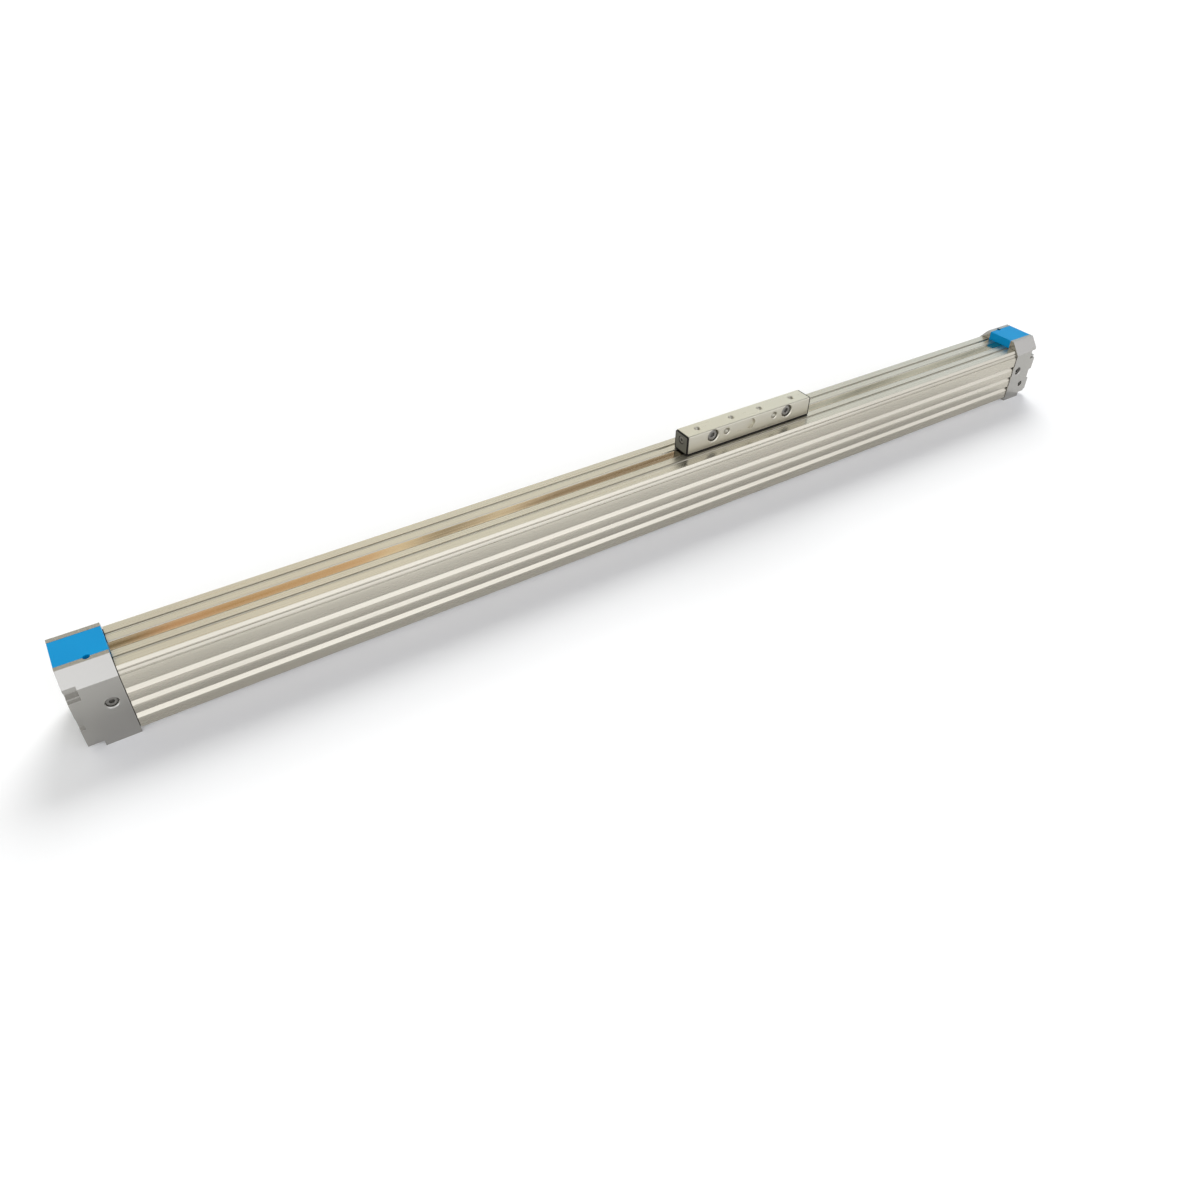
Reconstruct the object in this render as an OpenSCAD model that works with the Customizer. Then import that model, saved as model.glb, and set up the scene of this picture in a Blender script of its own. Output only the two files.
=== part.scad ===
// Rodless pneumatic cylinder: a slotted barrel, sealed by two steel bands, between two end caps.
// The pistons inside carry a yoke that reaches out through the slot and drives the slide on top.
// X runs along the barrel, Y across it and Z up. The origin is at mid-length, under the end caps.

/* [Overall] */
// Length over both end caps
total_l = 700; // [560:10:1500]
// Place of the slide's centre along the barrel, from mid-length
slide_x = 64.5; // [-180:0.5:180]

/* [Barrel] */
// Bore diameter
bore_d = 25; // [24:0.1:25.6]
// Width of the barrel profile
barrel_w = 37.8; // [36.5:0.1:38.4]
// Height of the barrel profile
barrel_h = 39.8; // [39:0.1:40.5]
// Gap between the surface that the caps stand on and the barrel's underside
barrel_lift = 1.9; // [1.5:0.1:3]
// Wall between the bore and the barrel's underside
floor_wall = 4.2; // [3.8:0.1:4.6]
// Width of the slot that the yoke runs in
slot_w = 5; // [4.4:0.1:5.4]
// Chamfer along the two bottom edges
base_chamfer = 1; // [0.4:0.1:1.6]
// Width of the stepped shoulder between top and side
shoulder_w = 3; // [2:0.1:4]
// Height of the stepped shoulder
shoulder_h = 6.3; // [4.5:0.1:7]
// Outward bulge of the shoulder's middle facet
shoulder_bulge = 0.35; // [0.1:0.05:0.6]
// Radius of the two fine grooves that part the shoulder's facets
shoulder_groove_r = 0.35; // [0.2:0.05:0.5]

/* [Flutes] */
// Height of the lowest side flute above the barrel's underside
flute_first = 8.7; // [8.2:0.05:9]
// Pitch of the side flutes
flute_pitch = 8.6; // [8:0.05:8.9]
// Mouth width of a side flute
flute_w = 3.5; // [3.2:0.1:3.8]
// Height of a flute's lower slope
flute_slope_h = 2.1; // [1.8:0.1:2.3]
// Height of the narrow floor between a flute's two slopes
flute_floor_h = 0.5; // [0.3:0.1:0.7]
// Depth of the two outer flutes, lowest and highest
flute_deep = 1.4; // [1:0.1:1.5]
// Depth of the middle flute
flute_shallow = 1.2; // [0.8:0.1:1.4]
// Height of the sloped lip below a flute
lip_h = 1.5; // [0.8:0.1:2]
// Depth of the sloped lip at its upper edge
lip_depth = 0.4; // [0.2:0.05:0.6]
// Flat land between an outer flute and its lip
lip_land = 0.3; // [0.1:0.05:0.5]
// Distance of the top grooves from the middle
top_groove_y = 9.5; // [8.5:0.1:10.5]
// Width of a top groove
top_groove_w = 1.8; // [1.2:0.1:2.4]
// Depth of a top groove
top_groove_depth = 1.2; // [1:0.1:1.6]

/* [Bands] */
// Width of the cover band, which closes the slot from outside
cover_band_w = 6.4; // [6:0.1:6.6]
// Width of the seal band, which closes the slot from inside
seal_band_w = 8; // [7:0.1:8.4]
// Thickness of both bands
band_t = 0.3; // [0.2:0.05:0.4]
// Depth of the cover band's seat below the barrel's top
band_seat = 0.6; // [0.5:0.05:0.8]
// Chamfer along both sides of the cover band's seat
seat_chamfer = 0.5; // [0.3:0.05:0.8]
// Gap beside each band in its seat
band_side_gap = 0.2; // [0.1:0.05:0.3]
// Height of the seal band's seat above the top of the bore
seal_seat = 0.4; // [0.35:0.05:0.6]
// Height that the cover band arches up over the yoke
cover_rise = 3.7; // [3.4:0.1:4]
// Depth that the seal band dips down under the yoke
seal_dip = 4.4; // [4:0.1:4.8]
// Half the level stretch of both bands at the yoke
band_level = 24; // [20:0.5:26]
// Length along the barrel of each band's ramp
band_ramp = 22; // [20:0.5:23]
// Clearance round a band where it passes through the yoke
band_gap = 0.3; // [0.25:0.05:0.4]
// Distance of the band ends from the outer faces of the caps
band_inset = 10; // [9:0.5:12]

/* [End caps] */
// Length of an end cap
cap_l = 23.5; // [23:0.5:30]
// Width of an end cap
cap_w = 38.6; // [38.5:0.1:42]
// Height of an end cap
cap_h = 47.6; // [47:0.1:50]
// Width of the sloped edge beside the top of a cap
cap_slope_w = 7.05; // [6:0.05:7.4]
// Height of that sloped edge
cap_slope_h = 8.9; // [7:0.1:9.5]
// Length of the rebate under a cap's outer end
rebate_l = 7.2; // [3:0.1:7.6]
// Height of that rebate
rebate_h = 2.6; // [1:0.1:2.7]
// Height of the shallow step beside that rebate
foot_h = 4.8; // [3:0.1:6]
// Depth of that step
foot_step = 0.8; // [0.4:0.1:1]
// Length of the foot-clip groove from a cap's outer face
clip_l = 5.8; // [4:0.1:7]
// Height of the foot-clip groove's shallow step
clip_h = 8; // [6:0.1:9]
// Height of the foot-clip groove's deep part
clip_slot_h = 4.2; // [3:0.1:5]
// Height of the middle of the foot-clip groove
clip_z = 36.2; // [35:0.1:37]
// Depth of the foot-clip groove's shallow step
clip_step = 1.2; // [0.6:0.1:1.6]
// Depth of the foot-clip groove's deep part
clip_depth = 3.2; // [2:0.1:3.3]
// Length of the key recess at a cap's outer edge
key_l = 2.3; // [1:0.1:3]
// Height of the key recess
key_h = 8.2; // [6:0.1:9]
// Height of the middle of the key recess
key_z = 18.5; // [17.5:0.1:20]
// Depth of the key recess
key_depth = 1.5; // [0.8:0.1:2]
// Length of the spigot that enters the bore
spigot_l = 6; // [5:0.5:7]
// Thickness of the gasket between cap and barrel
gasket_t = 0.3; // [0.2:0.05:0.5]
// How far the gasket's outline stays inside the barrel's
gasket_inset = 0.5; // [0.3:0.05:0.7]
// Section diameter of the bore seal on the spigot
bore_seal_d = 1.4; // [1:0.1:1.8]

/* [Cap covers] */
// Width of the clip-on cap cover
cover_w = 19; // [18:0.1:20]
// Top thickness of the cover
cover_top_t = 1.9; // [1.4:0.1:2]
// Side wall thickness of the cover
cover_wall = 1.5; // [1.2:0.1:1.6]
// Radius of the release notch across the cover's edge and the cap's
notch_r = 1.6; // [0.8:0.1:1.8]
// Place of the release notch from the cap's outer face
notch_x = 14; // [12:0.1:17]
// Depth of the release notch
notch_depth = 1.7; // [1:0.1:1.8]

/* [Band clamps] */
// Length of a band clamp
clamp_l = 10; // [9:0.5:11]
// Width of a band clamp
clamp_w = 14; // [13.6:0.1:14.6]
// Thickness of a band clamp
clamp_t = 2.8; // [2.4:0.1:3]
// Distance of the clamp screws from the middle
clamp_screw_y = 5; // [4.9:0.05:5.2]
// Thread radius of a clamp screw
clamp_screw_r = 1.25; // [1:0.05:1.3]
// Head radius of a clamp screw
clamp_head_r = 1.9; // [1.6:0.05:1.95]
// Head height of a clamp screw
clamp_head_h = 1.2; // [1:0.05:1.25]
// Length of a clamp screw below its head
clamp_screw_l = 7; // [6:0.5:8]

/* [Cap screws] */
// Thread radius of a cap screw
cap_screw_r = 1.95; // [1.6:0.05:1.95]
// Head radius of a cap screw
cap_head_r = 3.4; // [3:0.05:3.4]
// Head height of a cap screw
cap_head_h = 4; // [3:0.1:4.2]
// Length of a cap screw below its head
cap_screw_l = 30; // [26:1:40]
// Depth of the counterbore for a cap screw's head
cap_sink = 5; // [4.5:0.1:5.5]
// Distance of the lower cap screws from the barrel's side
low_screw_inset = 4.7; // [4.6:0.05:5]
// Height of the lower cap screws
low_screw_z = 6.4; // [6.35:0.05:6.5]
// Distance of the upper cap screws from the barrel's side
high_screw_inset = 7.1; // [6.9:0.05:7.3]
// Height of the upper cap screws
high_screw_z = 34.2; // [33.6:0.1:34.6]

/* [Ports] */
// Radius of the threaded air port in a cap's outer face
port_r = 4.3; // [3.6:0.05:4.6]
// Depth of the air port
port_depth = 8; // [6:0.5:9]
// Radius of the closed side port
side_port_r = 2.2; // [1.8:0.05:2.3]
// Place of the side port from the cap's outer face
side_port_x = 8.8; // [8.4:0.1:9.2]
// Height of the side port
side_port_z = 11.4; // [11.2:0.1:11.8]
// Recess of the side port's plug
plug_recess = 0.8; // [0.4:0.1:1.2]
// Length of the side port's plug
plug_l = 6; // [4:0.5:7]
// Radius of the base threads under a cap
base_hole_r = 2.1; // [1.6:0.05:2.2]
// Depth of the base threads
base_hole_depth = 7.5; // [6:0.5:8]
// Distance of the base threads from the middle
base_hole_y = 8; // [7.6:0.1:8.8]

/* [Cushioning] */
// Outer radius of the cushion tube
tube_r = 4; // [3.6:0.05:4.2]
// Bore radius of the cushion tube
tube_bore_r = 2; // [1.5:0.05:2.4]
// Length of the cushion tube beyond the spigot
tube_reach = 14; // [11:0.5:15]
// Length of the cushion tube that is held in the cap
tube_hold = 8; // [6:0.5:8.5]
// Outer radius of the cushion seal
cushion_seal_r = 6; // [5.6:0.05:6.4]
// Thickness of the cushion seal
cushion_seal_t = 2.2; // [1.8:0.1:2.6]

/* [Adjusters] */
// Place of a cushion adjuster from the cap's outer face
needle_x = 16.7; // [16:0.1:17]
// Height of a cushion adjuster
needle_z = 24.2; // [23.8:0.1:25]
// Radius of the adjuster's threaded body
needle_r = 2.8; // [2.4:0.05:2.9]
// Recess of the adjuster's head below the side of the cap
needle_recess = 1.2; // [1.1:0.1:1.8]
// Length of the adjuster's threaded body
needle_body_l = 6.4; // [5.6:0.1:7]
// Radius of the adjuster's stem
needle_stem_r = 1.5; // [1.2:0.05:1.8]
// Length of the adjuster's stem
needle_stem_l = 1.6; // [1:0.1:2]
// Length of the adjuster's conical tip
needle_tip_l = 2.2; // [1.6:0.1:2.6]
// Tip radius of the adjuster's cone
needle_tip_r = 0.4; // [0.2:0.05:0.6]
// Section radius of the adjuster's sealing ring
ring_r = 0.4; // [0.3:0.05:0.45]
// How far the adjuster can be screwed further in
needle_in = 0.5; // [0.3:0.1:0.8]

/* [Slide] */
// Length of the slide with its end covers
slide_l = 103.8; // [100:0.2:112]
// Width of the slide
slide_w = 13; // [12.8:0.1:14]
// Height of the slide block
slide_h = 12.4; // [12.2:0.1:13]
// Thickness of the wiper strip under the slide
wiper_t = 0.6; // [0.4:0.05:0.8]
// Width of the wiper strip's rails
wiper_w = 1.6; // [1.2:0.05:1.7]
// Fillet along the top edges of the slide
slide_fillet = 0.8; // [0.4:0.1:1]
// How far the wiper strip stands out beside the slide block
wiper_out = 0.4; // [0.1:0.05:0.6]
// Plate thickness of a slide end cover
end_plate_t = 1; // [0.8:0.1:1.4]
// Radius of the boss on that plate, which is let into the slide block
end_boss_r = 3.6; // [3.4:0.1:3.8]
// Length of that boss
end_boss_l = 2; // [1.6:0.1:2.4]
// Chamfer on the end covers' upper corners
end_cover_chamfer = 0.8; // [0.6:0.1:1.4]
// How far the end covers' outline stays inside the block's
end_cover_inset = 0.15; // [0.1:0.05:0.4]
// Thread radius of an end cover's screw
end_screw_r = 1.25; // [1:0.05:1.3]
// Length of that screw below its head
end_screw_l = 5.4; // [4.5:0.1:6]
// Head radius of that screw
end_head_r = 2.3; // [2:0.05:2.35]
// Head height of that screw
end_head_h = 1.5; // [1.2:0.1:1.6]
// Depth of the counterbore for that screw's head
end_sink = 1.6; // [1.6:0.1:1.8]
// Radius of the top threads
top_hole_r = 1.65; // [1.2:0.05:1.8]
// Depth of the top threads
top_hole_depth = 6; // [4:0.5:6]
// Half the spacing of the inner top threads
top_inner_x = 11.9; // [10.5:0.1:13]
// Half the spacing of the outer top threads
top_outer_x = 39.6; // [39.4:0.1:41]
// Radius of the side threads
side_hole_r = 2.1; // [1.6:0.05:2.3]
// Half the spacing of the side threads
side_hole_x = 20; // [18:0.1:20.8]
// Height of the side threads and yoke screws below the slide's top
side_drop = 4.7; // [4.4:0.1:4.8]
// Radius of the locating recess in the slide's side
pin_r = 3.5; // [2.5:0.05:3.8]
// Depth of the locating recess
pin_depth = 1.5; // [1:0.1:2]
// Countersink width round the threads
sink_w = 0.5; // [0.3:0.05:0.6]

/* [Yoke] */
// Half the length of the yoke's head and of its core in the bore
yoke_half = 36.8; // [36:0.1:37.4]
// Half the length of the yoke's neck in the slot
neck_half = 25; // [22:0.5:26]
// Width of the yoke's neck
neck_w = 4.4; // [3.6:0.1:4.4]
// Width of the yoke's head
head_w = 9; // [8.8:0.1:9.4]
// Width of the two lugs that the yoke screws clamp
lug_w = 4; // [3:0.1:5]
// Length of each lug
lug_l = 11; // [9:0.1:11.2]
// Place of the yoke screws from the slide's centre
yoke_screw_x = 31.2; // [31:0.1:31.6]
// Thread radius of a yoke screw
yoke_screw_r = 2; // [1.5:0.05:2.1]
// Head radius of a yoke screw
yoke_head_r = 3.5; // [3:0.05:3.6]
// Head height of a yoke screw
yoke_head_h = 2.6; // [2:0.05:2.8]
// Depth of the counterbore for a yoke screw's head
yoke_sink = 3.5; // [3:0.05:3.8]
// Radius of that counterbore
yoke_sink_r = 4.1; // [3.9:0.05:4.2]
// Width of the yoke's core in the bore
core_w = 17; // [14:0.5:19]
// Radius of the spigots that carry the pistons
dowel_r = 5; // [4:0.1:5.5]
// Length of those spigots
dowel_l = 7; // [5:0.5:8]

/* [Pistons] */
// Distance of a piston's outer face from the slide's centre
piston_end = 70; // [69.5:0.1:72]
// Radial gap between a piston and the bore
piston_gap = 0.4; // [0.3:0.05:0.5]
// Length of a piston seal
piston_seal_l = 3.5; // [3:0.1:4]
// Groove depth of a piston seal
piston_seal_depth = 2; // [1.6:0.1:2.4]
// Length of a wear ring
wear_l = 4.5; // [3.5:0.1:5]
// Groove depth of a wear ring
wear_depth = 1; // [0.8:0.1:1.4]
// Length of a magnet ring
magnet_l = 4; // [3:0.1:4.2]
// Groove depth of a magnet ring
magnet_depth = 3; // [2.4:0.1:3.4]
// Radius of the cushion bore in a piston
cushion_bore_r = 4.5; // [4.4:0.05:4.8]
// Depth of the cushion bore
cushion_depth = 17; // [16.5:0.1:18]
// Wall between neighbouring piston grooves
groove_wall = 2.4; // [1.8:0.1:2.6]

/* [Fits] */
// Gap between the moving slide and the barrel
run_gap = 0.3; // [0.3:0.05:0.5]
// Radial clearance of a running fit
fit_gap = 0.05; // [0.02:0.01:0.08]
// Clearance of a clip-on or laid-in piece
lay_gap = 0.05; // [0.02:0.01:0.1]

/* [Hidden] */
$fn = 64;
eps = 0.5;
NEAR = -1;
FAR = 1;

barrel_top = barrel_lift + barrel_h;
bore_r = bore_d / 2;
bore_z = barrel_lift + floor_wall + bore_r;
barrel_half = total_l / 2 - cap_l - gasket_t;
seat_z = barrel_top - band_seat;
seal_ceiling = bore_z + bore_r + seal_seat;
cover_mid_z = seat_z + band_t / 2;
seal_mid_z = seal_ceiling - band_t / 2;
cover_seat_w = cover_band_w + 2 * band_side_gap;
seal_seat_w = seal_band_w + 2 * band_side_gap;
band_half = total_l / 2 - band_inset;
arch_half = band_level + band_ramp;

shoulder_bottom = barrel_top - shoulder_h;
low_screw_y = barrel_w / 2 - low_screw_inset;
high_screw_y = barrel_w / 2 - high_screw_inset;
shoulder_steps = 3;
flute_r = flute_w / 2;
arc_steps = 6;
screw_play = 0.05;
hole_play = 0.2;

clamp_x = band_inset + 0.5;
clamp_z = seat_z + band_t;
cover_gap_top = 0.1;
cover_bottom = seat_z + lay_gap;

wiper_z = barrel_top + run_gap;
slide_z = wiper_z + wiper_t;
slide_top = slide_z + slide_h;
block_half = slide_l / 2 - end_plate_t;
side_z = slide_top - side_drop;
head_z = barrel_top + run_gap + 0.05;
head_top = side_z - yoke_sink_r - 0.1;
lug_top = slide_top - 1.6;
channel_w = cover_seat_w + 2 * band_side_gap;
channel_top = slide_z + 1.9;

spigot_r = bore_r - fit_gap;
bore_seal_mid_r = bore_r - fit_gap / 2 - bore_seal_d / 2;
piston_r = bore_r - piston_gap;
core_r = piston_r - 0.3;
seal_x = piston_end - cushion_seal_t - groove_wall / 2 - piston_seal_l;
wear_x = seal_x - groove_wall - wear_l;
magnet_x = wear_x - groove_wall / 2 - magnet_l;
needle_y = -cap_w / 2 + needle_recess;
ring_mid_r = needle_r - ring_r - 0.04;
ring_place = needle_body_l - 1.6;

// Directions: a flat shape drawn in (Y, Z) runs along X, and one drawn in (X, Z) is centred across Y.
module along_x(l) {
    rotate([90, 0, 90]) linear_extrude(l) children();
}

module across_y(w) {
    rotate([90, 0, 0]) linear_extrude(w, center = true) children();
}

module rod_x(r, l) {
    rotate([0, 90, 0]) cylinder(r = r, h = l);
}

module rod_y(r, l) {
    rotate([-90, 0, 0]) cylinder(r = r, h = l);
}

module both_sides() {
    for (s = [0, 1]) mirror([s, 0, 0]) children();
}

// Places a piece drawn from a cap's outer face inwards: "left" as drawn, "right" turned end for end.
module at_cap(end) {
    if (end == "left") translate([-total_l / 2, 0, 0]) children();
    else translate([total_l / 2, 0, 0]) mirror([1, 0, 0]) children();
}

module at_slide() {
    translate([slide_x, 0, 0]) children();
}

// Places a piece drawn on the slide's +X half at that end of the slide, or mirrored at the other.
module at_slide_end(end) {
    at_slide() if (end == "right") children(); else mirror([1, 0, 0]) children();
}

// Socket-head screw along +X: its head starts at 0 and its shank follows.
module socket_screw(head_r, head_h, shank_r, shank_l) {
    difference() {
        union() {
            rod_x(head_r, head_h);
            translate([head_h, 0, 0]) rod_x(shank_r, shank_l);
        }
        translate([-eps, 0, 0]) rotate([0, 90, 0])
            cylinder(r = head_r * 0.5, h = head_h * 0.6 + eps, $fn = 6);
    }
}

// Strip of half-thickness e along a band's path in (X, Z), rising from 0 to rise about the middle.
module arch_path(rise, e) {
    r = (band_ramp * band_ramp + rise * rise) / (4 * rise);
    turn = asin(band_ramp / 2 / r);
    reach = 2 * r;
    translate([-band_level, rise - e]) square([2 * band_level, 2 * e]);
    both_sides() {
        translate([band_level, rise - r]) intersection() {
            ring(r, e);
            polygon([[0, 0], [0, reach], [reach * sin(turn), reach * cos(turn)]]);
        }
        translate([arch_half, r]) intersection() {
            ring(r, e);
            polygon([[0, 0], [-reach * sin(turn), -reach * cos(turn)], [0, -reach]]);
        }
    }
}

module ring(r, e) {
    difference() {
        circle(r + e, $fn = 180);
        circle(r - e, $fn = 180);
    }
}

// Barrel section in (Y, Z)
function shoulder_point(i) = let (
    t = i / shoulder_steps,
    chord = sqrt(shoulder_w * shoulder_w + shoulder_h * shoulder_h),
    b = shoulder_bulge * sin(180 * t) / chord
)
    [barrel_w / 2 - shoulder_w * t + b * shoulder_h, shoulder_bottom + shoulder_h * t + b * shoulder_w];
half_outline = concat(
    [[barrel_w / 2 - base_chamfer, barrel_lift], [barrel_w / 2, barrel_lift + base_chamfer]],
    [for (i = [0 : shoulder_steps]) shoulder_point(i)]);
function mirrored(points) = [for (i = [len(points) - 1 : -1 : 0]) [-points[i][0], points[i][1]]];

// Flute in the +Y side, open toward the top, with its sloped lip below
module side_flute(z, depth, land) {
    slope_top = flute_slope_h - flute_r;
    translate([barrel_w / 2, z]) {
        polygon([[eps, -flute_r], [0, -flute_r], [-depth, slope_top], [-depth, slope_top + flute_floor_h],
            [0, flute_r], [eps, flute_r]]);
        translate([0, -flute_r - land])
            polygon([[eps, 0], [-lip_depth, 0], [0, -lip_h], [eps, -lip_h]]);
    }
}

module top_groove() {
    r = top_groove_w / 2;
    translate([top_groove_y, barrel_top - top_groove_depth + r]) {
        circle(r);
        translate([-r, 0]) square([top_groove_w, top_groove_depth]);
    }
}

module band_seats() {
    translate([-cover_seat_w / 2, seat_z]) square([cover_seat_w, band_seat + eps]);
    mouth = [
        [cover_seat_w / 2 + seat_chamfer, barrel_top + eps],
        [cover_seat_w / 2 + seat_chamfer, barrel_top],
        [cover_seat_w / 2, barrel_top - seat_chamfer]
    ];
    polygon(concat(mouth, mirrored(mouth)));
    translate([-seal_seat_w / 2, bore_z]) square([seal_seat_w, seal_ceiling - bore_z]);
}

module screw_places() {
    both_sides() {
        translate([low_screw_y, low_screw_z]) children();
        translate([high_screw_y, high_screw_z]) children();
    }
}

module barrel_section() {
    difference() {
        polygon(concat(half_outline, mirrored(half_outline)));
        translate([0, bore_z]) circle(bore_r);
        translate([-slot_w / 2, bore_z]) square([slot_w, barrel_h]);
        band_seats();
        screw_places() circle(cap_screw_r + screw_play);
        both_sides() {
            for (i = [0 : 2])
                side_flute(barrel_lift + flute_first + i * flute_pitch, i == 1 ? flute_shallow : flute_deep,
                    i == 1 ? 0 : lip_land);
            for (i = [1 : shoulder_steps - 1]) translate(shoulder_point(i)) circle(shoulder_groove_r);
            top_groove();
        }
    }
}

module barrel_profile() {
    color("#b9b2a4") translate([-barrel_half, 0, 0]) along_x(2 * barrel_half) barrel_section();
}

// End cap, drawn from its outer face at X = 0 towards the barrel
module cap_section() {
    half = [[cap_w / 2, 0], [cap_w / 2, cap_h - cap_slope_h], [cap_w / 2 - cap_slope_w, cap_h]];
    difference() {
        polygon(concat(half, mirrored(half)));
        translate([-cover_w / 2, seat_z]) square([cover_w, cap_h]);
    }
}

module clip_groove() {
    for (cut = [[clip_step, clip_h], [clip_depth, clip_slot_h]])
        translate([-eps, cap_w / 2 - cut[0], clip_z - cut[1] / 2]) cube([clip_l + eps, cap_w, cut[1]]);
}

module key_recess() {
    translate([-eps, cap_w / 2 - key_depth, key_z - key_h / 2]) cube([key_l + eps, key_depth + eps, key_h]);
}

// Rebate under the outer end of a cap, with a shallow step up both sides
module foot_rebate() {
    translate([-eps, -cap_w, -eps]) cube([rebate_l + eps, 2 * cap_w, rebate_h + eps]);
    for (s = [0, 1]) mirror([0, s, 0])
        translate([-eps, cap_w / 2 - foot_step, -eps]) cube([rebate_l + eps, cap_w, foot_h + eps]);
}

// Round notch across the joint of cover and cap, where a screwdriver lifts the cover
module release_notch(side) {
    translate([notch_x, side * cover_w / 2, cap_h - notch_depth])
        cylinder(r = notch_r, h = notch_depth + eps);
}

module cap_bores() {
    translate([-eps, 0, bore_z]) rod_x(port_r, port_depth + eps);
    translate([0, 0, bore_z]) rod_x(tube_bore_r, cap_l);
    translate([cap_l - tube_hold, 0, bore_z]) rod_x(tube_r, tube_hold + spigot_l + eps);
    for (s = [-1, 1]) {
        for (p = [[low_screw_y, low_screw_z], [high_screw_y, high_screw_z]]) {
            translate([-eps, s * p[0], p[1]]) rod_x(cap_screw_r + hole_play, cap_l + 2 * eps);
            translate([-eps, s * p[0], p[1]]) rod_x(cap_head_r + hole_play, cap_sink + eps);
        }
        translate([cap_l / 2, s * base_hole_y, -eps]) cylinder(r = base_hole_r, h = base_hole_depth + eps);
        translate([clamp_x + clamp_l / 2, s * clamp_screw_y, seat_z - clamp_screw_l])
            cylinder(r = clamp_screw_r + screw_play, h = clamp_screw_l + eps);
    }
}

module needle_bore() {
    translate([needle_x, -cap_w / 2, needle_z]) rotate([90, 0, 0])
        countersunk_hole(needle_r + fit_gap, needle_recess + needle_body_l + needle_in + eps);
    translate([needle_x, -cap_w / 2, needle_z])
        rod_y(needle_stem_r + hole_play, needle_recess + needle_body_l + needle_stem_l + needle_tip_l + 1.2);
    translate([needle_x, needle_y + needle_body_l + needle_stem_l + 1, needle_z])
        rod_x(needle_tip_r + hole_play, cap_l + spigot_l);
}

module end_cap(plug_side) {
    difference() {
        union() {
            along_x(cap_l) cap_section();
            translate([cap_l - eps, 0, bore_z]) rod_x(spigot_r, spigot_l + eps);
        }
        for (s = [0, 1]) mirror([0, s, 0]) {
            clip_groove();
            key_recess();
        }
        foot_rebate();
        release_notch(-plug_side);
        cap_bores();
        needle_bore();
        translate([side_port_x, 0, side_port_z]) rotate([0, 0, plug_side == FAR ? 0 : 180])
            translate([0, port_r, 0]) rod_y(side_port_r, cap_w);
        translate([band_inset - eps, -seal_seat_w / 2, bore_z + bore_r])
            cube([cap_l + spigot_l, seal_seat_w, seal_seat]);
        translate([cap_l + spigot_l / 2, 0, bore_z]) spigot_groove();
    }
}

module spigot_groove() {
    rotate([0, 90, 0]) rotate_extrude()
        translate([bore_seal_mid_r - bore_seal_d / 2 - lay_gap, -bore_seal_d / 2 - lay_gap])
        square([2 * bore_seal_d, bore_seal_d + 2 * lay_gap]);
}

module bore_seal() {
    translate([cap_l + spigot_l / 2, 0, bore_z]) rotate([0, 90, 0]) rotate_extrude()
        translate([bore_seal_mid_r, 0]) circle(bore_seal_d / 2);
}

module left_end_cap() {
    color("#a9a69f") at_cap("left") end_cap(FAR);
}

module right_end_cap() {
    color("#a9a69f") at_cap("right") end_cap(NEAR);
}

// Clip-on cover: a lid over the band clamp, whose end wall comes down onto the barrel
module cap_cover(notch_side) {
    difference() {
        translate([0, -cover_w / 2 + lay_gap, cover_bottom])
            cube([cap_l, cover_w - 2 * lay_gap, cap_h - cover_bottom]);
        translate([cover_wall, -cover_w / 2 + cover_wall, seat_z])
            cube([cap_l - 2 * cover_wall, cover_w - 2 * cover_wall, cap_h - cover_top_t - seat_z]);
        translate([cover_wall, -cover_seat_w / 2, seat_z])
            cube([cap_l, cover_seat_w, band_t + cover_gap_top]);
        release_notch(notch_side);
    }
}

module left_cap_cover() {
    color("#039fe6") at_cap("left") cap_cover(NEAR);
}

module right_cap_cover() {
    color("#039fe6") at_cap("right") cap_cover(FAR);
}

module cap_gasket(end) {
    g = gasket_inset;
    half = [
        [barrel_w / 2 - base_chamfer - g, barrel_lift + g],
        [barrel_w / 2 - g, barrel_lift + base_chamfer + g],
        [barrel_w / 2 - g, shoulder_bottom - g],
        [barrel_w / 2 - shoulder_w - g, seat_z - g],
        [seal_seat_w / 2 + g, seat_z - g]
    ];
    color("#1d1c1b") at_cap(end) translate([cap_l, 0, 0]) along_x(gasket_t) difference() {
        polygon(concat(half, mirrored(half)));
        translate([0, bore_z]) circle(bore_r + fit_gap);
        translate([-seal_seat_w / 2, bore_z]) square([seal_seat_w, barrel_h]);
        screw_places() circle(cap_screw_r + hole_play);
    }
}

module left_cap_gasket() {
    cap_gasket("left");
}

module right_cap_gasket() {
    cap_gasket("right");
}

// Cap screws: 1 and 2 low, 3 and 4 high, the odd ones on the near side
module cap_screw(end, number) {
    side = number % 2 == 1 ? NEAR : FAR;
    place = number < 3 ? [low_screw_y, low_screw_z] : [high_screw_y, high_screw_z];
    color("#77777a") at_cap(end) translate([cap_sink - cap_head_h, side * place[0], place[1]])
        socket_screw(cap_head_r, cap_head_h, cap_screw_r, cap_screw_l);
}

module cushion_tube(end) {
    l = tube_hold + spigot_l + tube_reach;
    color("#c9c3b4") at_cap(end) translate([cap_l - tube_hold, 0, bore_z]) difference() {
        rod_x(tube_r, l);
        translate([-eps, 0, 0]) rod_x(tube_bore_r, l + 2 * eps);
        translate([l, 0, 0]) rotate([0, 90, 0]) rotate_extrude()
            polygon([[tube_r - 0.6, eps], [tube_r + eps, eps], [tube_r + eps, -1.1], [tube_r, -0.6]]);
    }
}

module left_cushion_tube() {
    cushion_tube("left");
}

module right_cushion_tube() {
    cushion_tube("right");
}

module left_bore_seal() {
    color("#1d1c1b") at_cap("left") bore_seal();
}

module right_bore_seal() {
    color("#1d1c1b") at_cap("right") bore_seal();
}

// Steel bands, each one strip from cap to cap
module cover_band() {
    color("#d8d2c4") across_y(cover_band_w) translate([0, cover_mid_z]) {
        translate([slide_x, 0]) arch_path(cover_rise, band_t / 2);
        band_runs();
    }
}

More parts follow.
